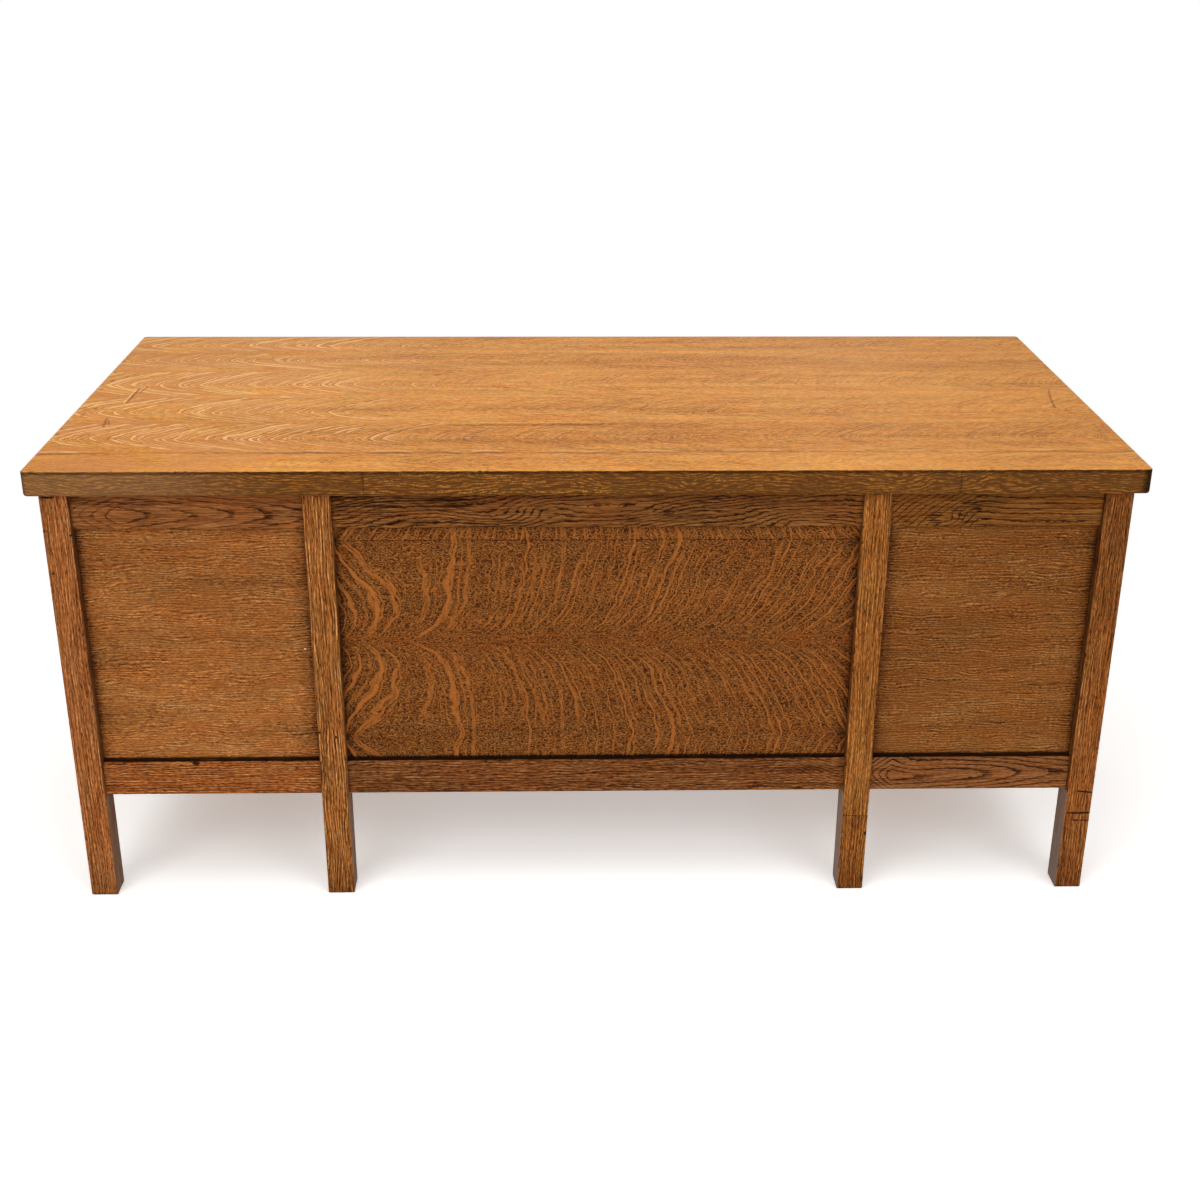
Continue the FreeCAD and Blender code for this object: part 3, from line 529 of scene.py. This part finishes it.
# How dark the short dashes on each top rail are
DASHES = {"back_top_rail_left": 0.35, "back_top_rail_centre": 0.5, "back_top_rail_right": 0.8}
for seed, (name, figure) in enumerate(TOP_RAILS.items()):
    oak = Oak(name, "xzy", seed=seed + 11, wander=2.0)
    oak.grain(lines=0.18, line_length=60, fine=0.2, pores=0.2, streaks=0.22, streak_size=14)
    oak.rings(**figure)
    dashes = oak.ease(oak.lumps(oak.board, (26, 2.2, 2.2)), 0.1, 0.26)
    crowd = oak.ease(oak.lumps(oak.board, (160, 30, 30)), -0.1, 0.25)
    if name == "back_top_rail_centre":
        upper_left = oak.ease(oak.z, 704.0, 716.0) * oak.ease(oak.x, -100.0, -200.0)
        crowd = oak.math("MAXIMUM", crowd, upper_left)
        dark = oak.ease(oak.lumps(oak.board, (75, 3.6, 3.6)), 0.1, 0.22)
        dark = dark * oak.ease(oak.z, 696.0, 708.0) * oak.ease(oak.x, -60.0, -140.0)
        oak.value = oak.value - dark * 0.4
    if name == "back_top_rail_right":
        crowd = crowd * oak.ease(oak.x, 660.0, 600.0)
    oak.value = oak.value - dashes * crowd * DASHES[name]
    oak.end_grain()
    dress(name, oak.done(OAK, TONES[name]))

BOTTOM_RAILS = {
    "back_bottom_rail_left": dict(
        spacing=5.0, middle=150, depth=-380, slope_up=0.012, slope_down=0.012, strength=0.2, sway=5.0,
        share=0.4),
    "back_bottom_rail_centre": dict(
        spacing=5.0, middle=160, depth=-380, peak=330, slope_up=0.35, slope_down=0.012, strength=0.2,
        sway=6.0, share=0.4),
    "back_bottom_rail_right": dict(
        spacing=6.5, middle=222, depth=-378, peak=512, slope_up=0.085, slope_down=0.6, strength=0.6,
        sway=7.0, jag=1.6, share=0.3, swirls=((548, 240, 40, 14, 8),)),
}
for seed, (name, figure) in enumerate(BOTTOM_RAILS.items()):
    oak = Oak(name, "xzy", seed=seed + 21, wander=3.0)
    plain = 0.5 if "right" in name else 1.0
    oak.grain(lines=0.2 * plain, line_length=60, fine=0.34 * plain, fine_length=9, pores=0.4 * plain,
              pore_length=9, pore_size=1.1, streaks=0.2, streak_size=12)
    oak.lined(0.36 * plain, length=24, spacing=5.0)
    oak.rings(**figure)
    top = corners(name)[1][2] * MM
    # Dirt and painted shade on the rail's top edge, where the panel sits back behind it
    ledge_dirt_and_shade = oak.ease(oak.z + oak.lumps(oak.board, (60, 20, 20)) * 0.8, top - 0.9, top - 0.2)
    oak.lay(DIRT_AND_SHADE, ledge_dirt_and_shade * 0.97)
    oak.end_grain()
    if name == "back_bottom_rail_left":
        oak.dot(-659, 252, 7, 3.5, 0.95)
        oak.dot(-541, 256, 4, 2)
    dress(name, oak.done(OAK, TONES[name]))


def recess_shade_and_dirt(oak, west, east, low, high, deep):
    """Painted shade, with dirt and old polish, along the edges of a panel where it sits back from the posts and
    rails: soft and uneven.
    """
    sides = oak.math("MINIMUM", oak.x - west, east - oak.x)
    here = oak.join(oak.x, oak.y, oak.z)
    rough = oak.lumps(here, (26, 26, 60), detail=3.0)
    near = oak.ease(oak.math("MINIMUM", sides, (oak.z - low) * 1.4) + rough * 6.0, 11.0, -2.0)
    oak.value = oak.value - near * (0.24 * deep)
    oak.value = oak.value - oak.ease(sides + rough * 16.0, 34.0, 0.0) * (0.12 * deep)
    oak.lay(DIRT_AND_SHADE, oak.ease(oak.math("MINIMUM", sides, high - oak.z), 1.8, 0.2) * (0.7 * deep))
    oak.lay(DIRT_AND_SHADE, oak.ease(oak.z - low + rough * 1.5, 4.8, 2.4) * 0.85)


def field(west, east, bottom, top):
    """The part of a panel that shows between its posts and rails, in millimetres."""
    return (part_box(west)[1].x * MM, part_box(east)[0].x * MM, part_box(bottom)[1].z * MM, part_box(top)[0].z * MM)


# How bold each side panel's figure is, and where its speck of paint sits
SIDE_PANELS = {"left": (1.0, (-465, 458)), "right": (1.2, (478, 365))}
for seed, (side, (bold, speck)) in enumerate(SIDE_PANELS.items()):
    name = "back_panel_" + side
    oak = Oak(name, "xzy", seed=seed + 31, wander=6.0)
    oak.grain(lines=0.1 * bold, line_size=1.5, line_length=18, fine=0.28 * bold, fine_size=1.2, fine_length=5,
              pores=0.1 * bold, pore_length=9, streaks=0.16 * bold, streak_size=40, streak_length=300)
    oak.lined(0.28 * bold, length=20)
    pale = oak.ease(oak.lumps(oak.board, (18, 1.5, 3)), 0.16, 0.4)
    oak.value = oak.value + pale * (0.05 * bold)
    busy = oak.ease(oak.lumps(oak.board, (60, 22, 22), detail=1.0), -0.3, 0.3) * 0.4 + 0.8
    oak.value = (oak.value - MIDDLING) * busy + 0.6 + oak.ease(oak.z, 620.0, 320.0) * 0.05
    outer, inner = "back_post_%s_outer" % side, "back_post_%s_inner" % side
    west, east = (outer, inner) if side == "left" else (inner, outer)
    # Painted shade and dirt along the panel's edges
    recess_shade_and_dirt(oak, *field(west, east, "back_bottom_rail_" + side, "back_top_rail_" + side), deep=0.75)
    oak.dot(*speck, 1.8, colour=SPECK, ragged=0.0)
    dress(name, oak.done(OAK, TONES[name]))

# The centre panel: leaves of quartersawn oak mirrored about a line, crossed by ray flakes. The line
# runs at this height and each leaf is as high as this, in millimetres

MIRROR = 472.0
LEAF = 175.0

oak = Oak("back_panel_centre", "xzy", seed=41, wander=5.0)
oak.grain(lines=0.0, fine=0.3, fine_size=1.3, fine_length=3.4, pores=0.0, pore_length=5, streaks=0.1,
          streak_size=40)
centre_field = field("back_post_left_inner", "back_post_right_inner", "back_bottom_rail_centre",
                     "back_top_rail_centre")

# How the flakes bend as they leave the mirror line, and lean: to the left at the left, to the right
# at the right
run = oak.math("PINGPONG", oak.math("ABSOLUTE", oak.z - MIRROR), LEAF)
bend = (1.0 - oak.math("EXPONENT", run / -28.0)) * 66.0
lean = oak.ease(oak.x, -410.0, -210.0) * 0.65 + oak.ease(oak.x, -210.0, 431.0) * 0.38 - 0.6
lean = lean + oak.lumps(oak.join(oak.x, 0.0, 0.0), (150, 1, 1)) * 0.12
sway = oak.lumps(oak.join(oak.x, oak.z, 0.0), (70, 45, 9), detail=2.0) * 9.0
line = oak.x - bend - lean * run + sway
big = oak.rays(line, run, 28.0, 7.6, ends=(25.0, 120.0), tips=16.0, most=250.0)
medium = oak.rays(line, run, 15.0, 5.0, ends=(30.0, 110.0), tips=14.0, most=230.0)
small = oak.rays(line, run, 9.0, 2.8, ends=(110.0, 60.0), tips=12.0, most=170.0, shade=0.0)

# A third leaf starts below the top rail
strip_line = oak.x + (oak.z - (MIRROR + LEAF)) * oak.x * 0.0024 + sway
strip = oak.rays(strip_line, oak.z - 600.0, 11.0, 4.2, ends=(0.0, 100.0), most=120.0, shade=0.0)
strip = strip * oak.ease(oak.z, MIRROR + LEAF - 1.0, MIRROR + LEAF + 3.0)

# Between the flakes the wood is dark with pale curls. The broad flakes are strongest at the left
left = oak.ease(oak.x, 100.0, -250.0)
curl = oak.lumps(oak.join(oak.x, oak.z, 0.0), (6.8, 6.0, 9), detail=0.0)
loop = oak.math("FRACT", oak.z / 5.8 + curl * 1.8)
fleck = oak.ease(oak.math("ABSOLUTE", loop - 0.5), 0.42, 0.08)
oak.value = oak.value + fleck * 0.38 - 0.33
oak.lay(RAY_GOLD, big * (left * 0.55 + 0.35) * 0.85, tone=True)
oak.lay(RAY_GOLD, medium * (left * -0.1 + 0.74), tone=True)
oak.lay(RAY_GOLD, small * 0.5, tone=True)
oak.lay(RAY_GOLD, strip * 0.7, tone=True)
seam = oak.ease(oak.math("ABSOLUTE", oak.z - MIRROR), 26.0, 0.0)
oak.lay(FLAME, seam * oak.ease(oak.lumps(oak.board, (40, 1.9, 2)), -0.1, 0.3) * 0.4, tone=True)
joint = oak.ease(oak.math("ABSOLUTE", oak.z - MIRROR - LEAF), 1.6, 0.4)
oak.value = oak.value - joint * 0.2
oak.height = oak.height + big * 0.03
# Painted shade and dirt along the panel's edges
recess_shade_and_dirt(oak, *centre_field, deep=0.9)
dress("back_panel_centre", oak.done(OAK, TONES["back_panel_centre"]))

# The frames of both ends and of the kneehole's sides

for seed, frame_name in enumerate(("left_end", "right_end", "left_kneehole", "right_kneehole")):
    for part, piece in enumerate(("top_rail", "bottom_rail", "panel")):
        name = "%s_%s" % (frame_name, piece)
        oak = Oak(name, "yzx", seed=50 + seed * 3 + part, wander=5.0)
        oak.grain(lines=0.14, line_size=2.4, line_length=40, fine=0.26, fine_length=8, pores=0.18,
                  streaks=0.14, streak_size=26)
        oak.lined(0.28, length=24)
        if piece == "panel":
            pedestal, place = frame_name.split("_")
            corner = "_post_%s_%s" % (pedestal, "outer" if place == "end" else "inner")
            south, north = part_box("back" + corner)[1].y * MM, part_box("front" + corner)[0].y * MM
            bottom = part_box(frame_name + "_bottom_rail")[1].z * MM
            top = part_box(frame_name + "_top_rail")[0].z * MM
            # Painted shade and dirt round the panel's rim, where it sits back in its frame
            panel_rim_shade = oak.math("MINIMUM", oak.math("MINIMUM", oak.y - south, north - oak.y),
                           oak.math("MINIMUM", oak.z - bottom, top - oak.z))
            rough = oak.lumps(oak.board, (60, 26, 26), detail=3.0)
            oak.value = oak.value - oak.ease(panel_rim_shade + rough * 10.0, 26.0, 0.0) * 0.22
            oak.lay(DIRT_AND_SHADE, oak.ease(panel_rim_shade + rough * 1.5, 3.4, 1.0) * 0.75)
        else:
            low, high = corners(name)
            middle = (low[2] + high[2]) / 2 * MM - 14.0 * (part + 1)
            oak.rings(7.5, middle, (low[0] + high[0]) / 2 * MM + 24.0, peak=-200.0 + 160.0 * part,
                      slope_up=0.06, slope_down=0.09, strength=0.22, sway=8.0)
        oak.end_grain()
        dress(name, oak.done(OAK, PLAIN))

# The drawer side: rails, drawer fronts, knobs and writing slides

for seed, name in enumerate(("left_front_rails", "right_front_rails", "kneehole_drawer_rail",
                             "kneehole_top_rail")):
    oak = Oak(name, "xzy", seed=seed + 65, wander=3.0)
    oak.grain(lines=0.16, fine=0.24, fine_length=10, pores=0.2, streaks=0.2, streak_size=14)
    oak.lined(0.22, length=24)
    oak.end_grain()
    dress(name, oak.done(OAK, USER_SIDE))

DRAWERS = ("left_lower", "left_middle", "left_upper", "right_file", "right_upper", "kneehole")
for seed, drawer in enumerate(DRAWERS):
    name = drawer + "_drawer_front"
    low, high = corners(name)
    oak = Oak(name, "xzy", seed=seed + 71, wander=5.0)
    oak.grain(lines=0.12, line_size=2.8, line_length=60, fine=0.24, fine_length=8, pores=0.2, streaks=0.14,
              streak_size=26)
    oak.lined(0.2, length=20)
    middle, peak = [(low[axis] + high[axis]) / 2 * MM for axis in (2, 0)]
    oak.rings(11.0, middle - 20.0, 340.0, peak=peak + 60.0, slope_up=0.05, slope_down=0.07, strength=0.22,
              sway=11.0)
    # Painted shade and dirt in a thin rim round the front, and the front a little darker towards its edges
    oak.lay(DIRT_AND_SHADE, oak.ease(oak.edge(low, high), 1.9, 0.3) * 0.75)
    oak.value = oak.value - oak.ease(oak.edge(low, high), 12.0, 0.0) * 0.08
    oak.end_grain()
    dress(name, oak.done(OAK, USER_SIDE))

    oak = Oak(drawer + "_drawer_lining", "yzx", seed=seed + 81, wander=3.0)
    oak.grain(lines=0.2, line_size=3.2, pores=0.16, pore_length=5, pore_size=0.6, streaks=0.22,
              streak_size=20)
    oak.end_grain(0.2)
    dress(drawer + "_drawer_box", oak.done(LINING, LINING_TONE, rough=0.62))

    knob = drawer + ("_drawer_knobs" if drawer == "kneehole" else "_drawer_knob")
    oak = Oak(knob, "yzx", seed=seed + 91, wander=2.0)
    oak.grain(lines=0.25, line_size=2.6, pores=0.34, pore_length=8, streaks=0.2, streak_size=10)
    oak.end_grain(0.08)
    dress(knob, oak.done(OAK, KNOB, rough=0.38, shine=0.12))

for seed, name in enumerate(("left_writing_slide", "right_writing_slide")):
    oak = Oak(name, "xyz", seed=seed + 101, wander=4.0)
    oak.grain(lines=0.22, pores=0.3, streaks=0.3, streak_size=30)
    oak.end_grain()
    dress(name, oak.done(OAK, PLAIN, rough=0.45))

for seed, name in enumerate(("left_runners", "kneehole_runners", "right_runners", "drawer_and_slide_stops",
                             "top_buttons")):
    oak = Oak(name, "yxz", seed=seed + 111, wander=3.0)
    oak.grain(lines=0.22, line_size=3.0, pores=0.2, streaks=0.25)
    dress(name, oak.done(RUNNER, rough=0.66))

# Steel screws, tarnished in spots

steel = Tree("screw_steel", 121)
tarnish = steel.lumps(steel.join(*steel.place()), (3, 3, 3), detail=3.0)
steel_colour = steel.ramp(tarnish + 0.5, [(0.3, paint((96, 92, 88))), (0.8, paint((168, 164, 158)))])
dress("top_screws", steel.surface(steel_colour, tarnish * 0.12 + 0.38, tarnish * 0.02, metallic=1.0))

# The top: six boards, edge-glued, quartersawn, with ray flakes at the left end. Places from the
# back to the front, in millimetres

SEAMS = (-329.3, -171.0, -16.8, 154.2, 284.1)
BOARD_LOWS = (-419.0,) + SEAMS
BOARD_HIGHS = SEAMS + (419.0,)

oak = Oak("top_boards", "xyz", seed=131, wander=5.0)
steps = [oak.math("GREATER_THAN", oak.y, seam) for seam in SEAMS]
number = sum(steps[1:], steps[0])
low = BOARD_LOWS[0]
width = BOARD_HIGHS[0] - BOARD_LOWS[0]
for index, step in enumerate(steps, 1):
    low = step * (BOARD_LOWS[index] - BOARD_LOWS[index - 1]) + low
    wider = (BOARD_HIGHS[index] - BOARD_LOWS[index]) - (BOARD_HIGHS[index - 1] - BOARD_LOWS[index - 1])
    width = step * wider + width

# Each board's figure is taken from another part of the wood
luck = oak.chance(number + 3.0)
oak.board = oak.join(oak.along + luck * 900.0, oak.across, oak.deep + luck * 70.0)
middle = oak.ease(oak.math("ABSOLUTE", oak.x + 60.0), 520.0, 200.0)
oak.value = 0.6 + (luck - 0.5) * 0.12 - middle * 0.035
oak.grain(lines=0.12, line_size=3.0, line_length=50, fine=0.2, fine_size=3.4, fine_length=8, pores=0.16,
          pore_length=7, pore_size=2.4, streaks=0.24, streak_size=30, streak_length=300)

# The flakes turn along a line in each board: on both sides of it they sweep to the right and broaden
share = (oak.y - low) / width
turn_back = oak.chance(number + 21.0) * 0.35 + 0.35
near_off = oak.math("MAXIMUM", turn_back - share, 0.0)
far_off = oak.math("MAXIMUM", share - turn_back, 0.0)
near_tail = oak.math("POWER", near_off, 1.5) * 520.0
far_tail = oak.math("POWER", far_off, 1.5) * 240.0
sway = oak.lumps(oak.board, (90, 45, 30)) * 16.0
line = oak.x - near_tail - far_tail + sway + luck * 7000.0
run = share * 100.0 + oak.lumps(oak.board, (50, 50, 50)) * 30.0
broad = near_off * 4.0 + far_off * 2.0 + 1.0
flake = oak.rays(line, run, 26.0, 8.0, ends=(40.0, 70.0), tips=12.0, most=130.0, shade=0.2, broad=broad)
fine = oak.rays(line, run, 12.0, 4.2, ends=(50.0, 60.0), tips=12.0, most=130.0, shade=0.2, broad=broad)
flake = flake * oak.ease(oak.lumps(oak.board, (44, 24, 24)), -0.45, -0.1)
fine = fine * oak.ease(oak.lumps(oak.board, (30, 16, 16)), -0.4, -0.05)

# The flakes show at the left end, not on the board at the back, and dark and faint at the right end
patches = oak.lumps(oak.join(oak.x, oak.y, luck * 90.0), (170, 50, 60), detail=1.0)
end = oak.ease(oak.x + patches * 300.0, -200.0, -560.0) * oak.ease(oak.y, -335.0, -325.0)
far_end = oak.ease(oak.x + patches * 200.0, 420.0, 760.0)
top_face = oak.ease(oak.facing()[2], 0.6, 0.9)
ruddy = oak.ease(oak.x + patches * 300.0, -400.0, -760.0) * oak.ease(patches, 0.25, -0.1)
oak.lay(RUDDY, ruddy * top_face * 0.5)
oak.lay(FADED, oak.ease(oak.x, 100.0, 600.0) * top_face * 0.15)
oak.lay(RAY_PALE, flake * end * top_face * 0.95)
oak.lay(RAY_PALE, fine * (end * 0.9 + 0.1) * top_face * 0.85)
oak.value = oak.value - fine * far_end * top_face * 0.16

# Seams: the first from the back edge is dark and broken with pale lips, the others faint
SEAM_STRENGTHS = (0.65, 0.12, 0.1, 0.12, 0.1)
for seam, strength in zip(SEAMS, SEAM_STRENGTHS):
    opened = strength > 0.5
    drift = oak.lumps(oak.join(oak.x, 0.0, 0.0), (70, 1, 1), detail=3.0) * (11.0 if opened else 0.4)
    off = oak.math("ABSOLUTE", oak.y - seam + drift)
    broken = oak.ease(oak.lumps(oak.join(oak.x, 0.0, 0.0), (60, 1, 1), detail=3.0), -0.25, 0.2)
    if opened:
        lip = oak.math("ABSOLUTE", oak.y - seam - 10.0 + drift)
        oak.lay(RAY_PALE, oak.ease(lip, 8.0, 2.0) * broken * broken * top_face * 0.3)
        broken = broken * oak.ease(oak.x, 250.0, 0.0)
        broken = oak.math("MAXIMUM", broken, oak.ease(oak.x, 560.0, 760.0) * 0.6)
        off = off * 0.6
    oak.lay(SEAM, oak.ease(off, 4.0, 1.0) * (broken * 0.8 + 0.2) * top_face * strength)

# A dark streak near the second seam
streak_off = oak.math("ABSOLUTE", oak.y + 180.0 + oak.lumps(oak.join(oak.x, 0.0, 0.0), (200, 1, 1)) * 9.0)
streak_run = oak.ease(oak.x, -330.0, -180.0) * oak.ease(oak.x, 60.0, -20.0)
oak.value = oak.value - oak.ease(streak_off, 9.0, 0.0) * streak_run * top_face * 0.22

# The slab's edge: wavy flat-sawn grain, darker than the top, with a dark band just under its arris
EDGE_SPACING = 5.4
EDGE_JOINTS = (-352.0, 577.0)
slab = oak.join(oak.x, oak.y, oak.z)
edge_wave = oak.lumps(slab, (130, 120, 60), detail=1.0) * 34.0
edge_curl = oak.lumps(slab, (26, 26, 10), detail=2.0) * 5.0
edge_phase = oak.math("FRACT", (oak.z + edge_wave + edge_curl) / EDGE_SPACING)
edge_dark = oak.ease(edge_phase, 0.0, 0.08) * oak.ease(edge_phase, 0.46, 0.24)
edge_dark = edge_dark * (oak.ease(oak.lumps(slab, (50, 50, 14)), -0.25, 0.2) * 0.85 + 0.15)
curls = oak.ease(oak.math("ABSOLUTE", oak.lumps(slab, (5.5, 5.5, 3.4))), 0.13, 0.0)
curls = curls * oak.ease(oak.lumps(slab, (130, 130, 16)), 0.0, 0.25)
curls = curls * oak.ease(oak.x, -420.0, -340.0) * oak.ease(oak.x, 320.0, 160.0)
side_face = 1.0 - top_face
edge_fine = oak.ease(oak.lumps(slab, (16, 16, 1.5)), -0.25, 0.25) - 0.5
oak.value = oak.value - side_face * (edge_dark * 1.8 + edge_fine * 0.38 + 0.30 + curls * -0.45)
oak.value = oak.value - side_face * oak.ease(oak.x, -760.0, -480.0) * 0.16
oak.lay(EDGE_POLISH, side_face * 0.28)
oak.lay(EDGE_FADED, side_face * oak.ease(oak.x, -480.0, -700.0) * 0.34)
under_arris = oak.ease(oak.z, SLAB_TOP - 7.0, SLAB_TOP - 3.5)
under_arris = under_arris * oak.ease(oak.z, SLAB_TOP - 0.4, SLAB_TOP - 1.6)
oak.lay(DIRT_AND_SHADE, under_arris * side_face * 0.6)
oak.lay(DIRT_AND_SHADE, oak.ease(oak.z, SLAB_BASE + 2.5, SLAB_BASE + 0.8) * side_face * 0.6)
# Painted shade on the rounded corners at the ends of the back edge, and joints across the edge
back_corner_shade = oak.ease(oak.y + oak.lumps(slab, (8, 8, 8)) * 5.0, -402.0, -413.0)
oak.lay(DIRT_AND_SHADE, oak.ease(oak.x, 858.0, 870.0) * back_corner_shade * side_face * 0.85)
oak.lay(DIRT_AND_SHADE, oak.ease(oak.x, -868.0, -876.0) * back_corner_shade * side_face * 0.5)
for joint_x in EDGE_JOINTS:
    joint_off = oak.math("ABSOLUTE", oak.x - joint_x + oak.lumps(slab, (9, 9, 9)) * 2.0)
    oak.lay(DIRT_AND_SHADE, oak.ease(joint_off, 2.6, 0.4) * side_face * 0.4)
oak.lay(DIRT_AND_SHADE, oak.ease(oak.y, 412.0, 418.0) * top_face * 0.4)

# Scratches and dents in the top
oak.dash(-799, 41, -801, -48, 3.0, 0.8, SCRATCH, 0.4, top=True)
oak.dash(-804, 41, -806, -48, 2.6, 0.7, RAY_PALE, 0.4, top=True)
oak.dash(-787, 60, -793, 10, 2.4, 0.6, SCRATCH, top=True)
oak.dash(-812, -136, -806, -190, 4.0, 0.7, SCRATCH, top=True)
oak.dash(-806, -150, -800, -176, 3.0, 0.6, SCRATCH, top=True)
oak.dash(834, 30, 822, -30, 3.0, 0.6, SCRATCH, top=True)
oak.dash(822, -30, 814, -87, 3.4, 0.75, SCRATCH, top=True)
DENTS = ((-868, 150, 4), (-861, 96, 5), (-866, 40, 4), (-858, -120, 5), (-870, -230, 4), (-846, -80, 4),
         (-850, 230, 3), (868, -180, 4), (862, 120, 3))
for dent_x, dent_y, dent_size in DENTS:
    oak.dot(dent_x, dent_y, dent_size * 0.8, dent_size * 1.4, 0.5, SCRATCH, top=True)
box_low, box_high = corners("top_boards")
oak.worn_edges(box_low, box_high, rub=0.3, dents=0.5)
dress("top_boards", oak.done(TOP_OAK, TONES["top_boards"], rough=0.5, shine=0.03))

# Floor, backdrop and light

WHITE = (1.0, 1.0, 1.0, 1.0)
AMBIENT = 0.3

# The floor as the desk's light meets it, and as it is seen near the desk: its colour, which keeps
# the shadow, and what it adds to that. Its reach is half a side, in metres
FLOOR = (0.8, 0.8, 0.8, 1.0)
FLOOR_SEEN = (1.16, 1.2, 1.2, 1.0)
FLOOR_TINT = (1.0, 0.915, 0.88, 1.0)
FLOOR_GLOW = 0.33
FLOOR_REACH = 12.0


def seen_rays(tree):
    """1 for rays that show the background: straight from the camera, mirrored or through glass."""
    path = tree.nodes.new("ShaderNodeLightPath")
    seen = path.outputs["Is Camera Ray"]
    for kind in ("Is Glossy Ray", "Is Transmission Ray"):
        either = tree.nodes.new("ShaderNodeMath")
        either.operation = "MAXIMUM"
        tree.links.new(seen, either.inputs[0])
        tree.links.new(path.outputs[kind], either.inputs[1])
        seen = either.outputs[0]
    return seen


def shader(tree, kind, colour, strength=None):
    """A plain shader of one colour."""
    node = tree.nodes.new(kind)
    node.inputs["Color"].default_value = colour
    if strength is not None:
        node.inputs["Strength"].default_value = strength
    return node.outputs[0]


def blend(tree, share, first, second):
    """The first shader where the share is 0, and the second where it is 1."""
    node = tree.nodes.new("ShaderNodeMixShader")
    for socket, source in zip(node.inputs, (share, first, second)):
        tree.links.new(source, socket)
    return node.outputs[0]


world = bpy.data.worlds.new("studio")
scene.world = world
world.use_nodes = True
tree = world.node_tree
tree.nodes.clear()
ambient = shader(tree, "ShaderNodeBackground", WHITE, AMBIENT)
white = shader(tree, "ShaderNodeBackground", WHITE, 1.0)
out = tree.nodes.new("ShaderNodeOutputWorld")
tree.links.new(blend(tree, seen_rays(tree), ambient, white), out.inputs["Surface"])

mesh = bpy.data.meshes.new("studio_floor")
mesh.from_pydata([(x * FLOOR_REACH, y * FLOOR_REACH, 0) for x, y in ((-1, -1), (1, -1), (1, 1), (-1, 1))], [],
                 [(0, 1, 2, 3)])
floor = bpy.data.objects.new("studio_floor", mesh)
scene.collection.objects.link(floor)
ground = Tree("studio_floor")
tree = ground.material.node_tree
matt = shader(tree, "ShaderNodeBsdfDiffuse", FLOOR)
near = tree.nodes.new("ShaderNodeAddShader")
tree.links.new(shader(tree, "ShaderNodeBsdfDiffuse", FLOOR_SEEN), near.inputs[0])
tree.links.new(shader(tree, "ShaderNodeEmission", FLOOR_TINT, FLOOR_GLOW), near.inputs[1])
far = shader(tree, "ShaderNodeEmission", WHITE, 1.0)
x, y, _ = ground.place()
outward = ground.ease(ground.math("SQRT", x * x * 0.4 + y * y), 900.0, 1900.0)
background = blend(tree, outward.socket, near.outputs[0], far)
out = tree.nodes.new("ShaderNodeOutputMaterial")
tree.links.new(blend(tree, seen_rays(tree), matt, background), out.inputs["Surface"])
floor.data.materials.append(ground.material)


def lamp(name, place, aim, size, power):
    """A soft rectangular lamp that looks from one place to another."""
    light = bpy.data.lights.new(name, "AREA")
    light.shape = "RECTANGLE"
    light.size, light.size_y = size
    light.energy = power
    thing = bpy.data.objects.new(name, light)
    thing.location = place
    thing.rotation_mode = "QUATERNION"
    thing.rotation_quaternion = (Vector(aim) - Vector(place)).to_track_quat("-Z", "Y")
    thing.visible_camera = False
    scene.collection.objects.link(thing)


# Where each lamp stands and looks, in metres, its size and its power in watts
lamp("overhead", (0.0, -0.9, 3.3), (0.0, -0.1, 0.6), (4.6, 2.6), 56.0)
lamp("front_left", (-2.0, -3.4, 2.9), (0.0, -0.4, 0.3), (2.6, 1.8), 48.0)
lamp("front_right", (2.2, -3.4, 2.8), (0.0, -0.4, 0.3), (2.4, 1.8), 30.0)
lamp("far_side", (0.0, 4.2, 2.4), (0.0, 0.4, 0.4), (3.0, 2.0), 30.0)

# The camera stands where the photograph was taken from

LENS = 49.62
SENSOR = 36.0
CAMERA_PLACE = (-0.0466, -2.8446, 1.5973)
YAW, PITCH, ROLL = (math.radians(angle) for angle in (1.459, 23.192, 0.331))

ahead = Vector((math.sin(YAW) * math.cos(PITCH), math.cos(YAW) * math.cos(PITCH), -math.sin(PITCH)))
level = Vector((math.cos(YAW), -math.sin(YAW), 0.0))
upward = level.cross(ahead)
rightward = level * math.cos(ROLL) + upward * math.sin(ROLL)
upward = upward * math.cos(ROLL) - level * math.sin(ROLL)

camera = bpy.data.objects.new("camera", bpy.data.cameras.new("camera"))
camera.data.lens = LENS
camera.data.sensor_width = SENSOR
camera.data.clip_start = 0.05
camera.data.clip_end = 60.0
turn = Matrix((rightward, upward, -ahead)).transposed()
camera.matrix_world = Matrix.Translation(CAMERA_PLACE) @ turn.to_4x4()
scene.collection.objects.link(camera)
scene.camera = camera

scene.view_settings.view_transform = "Standard"
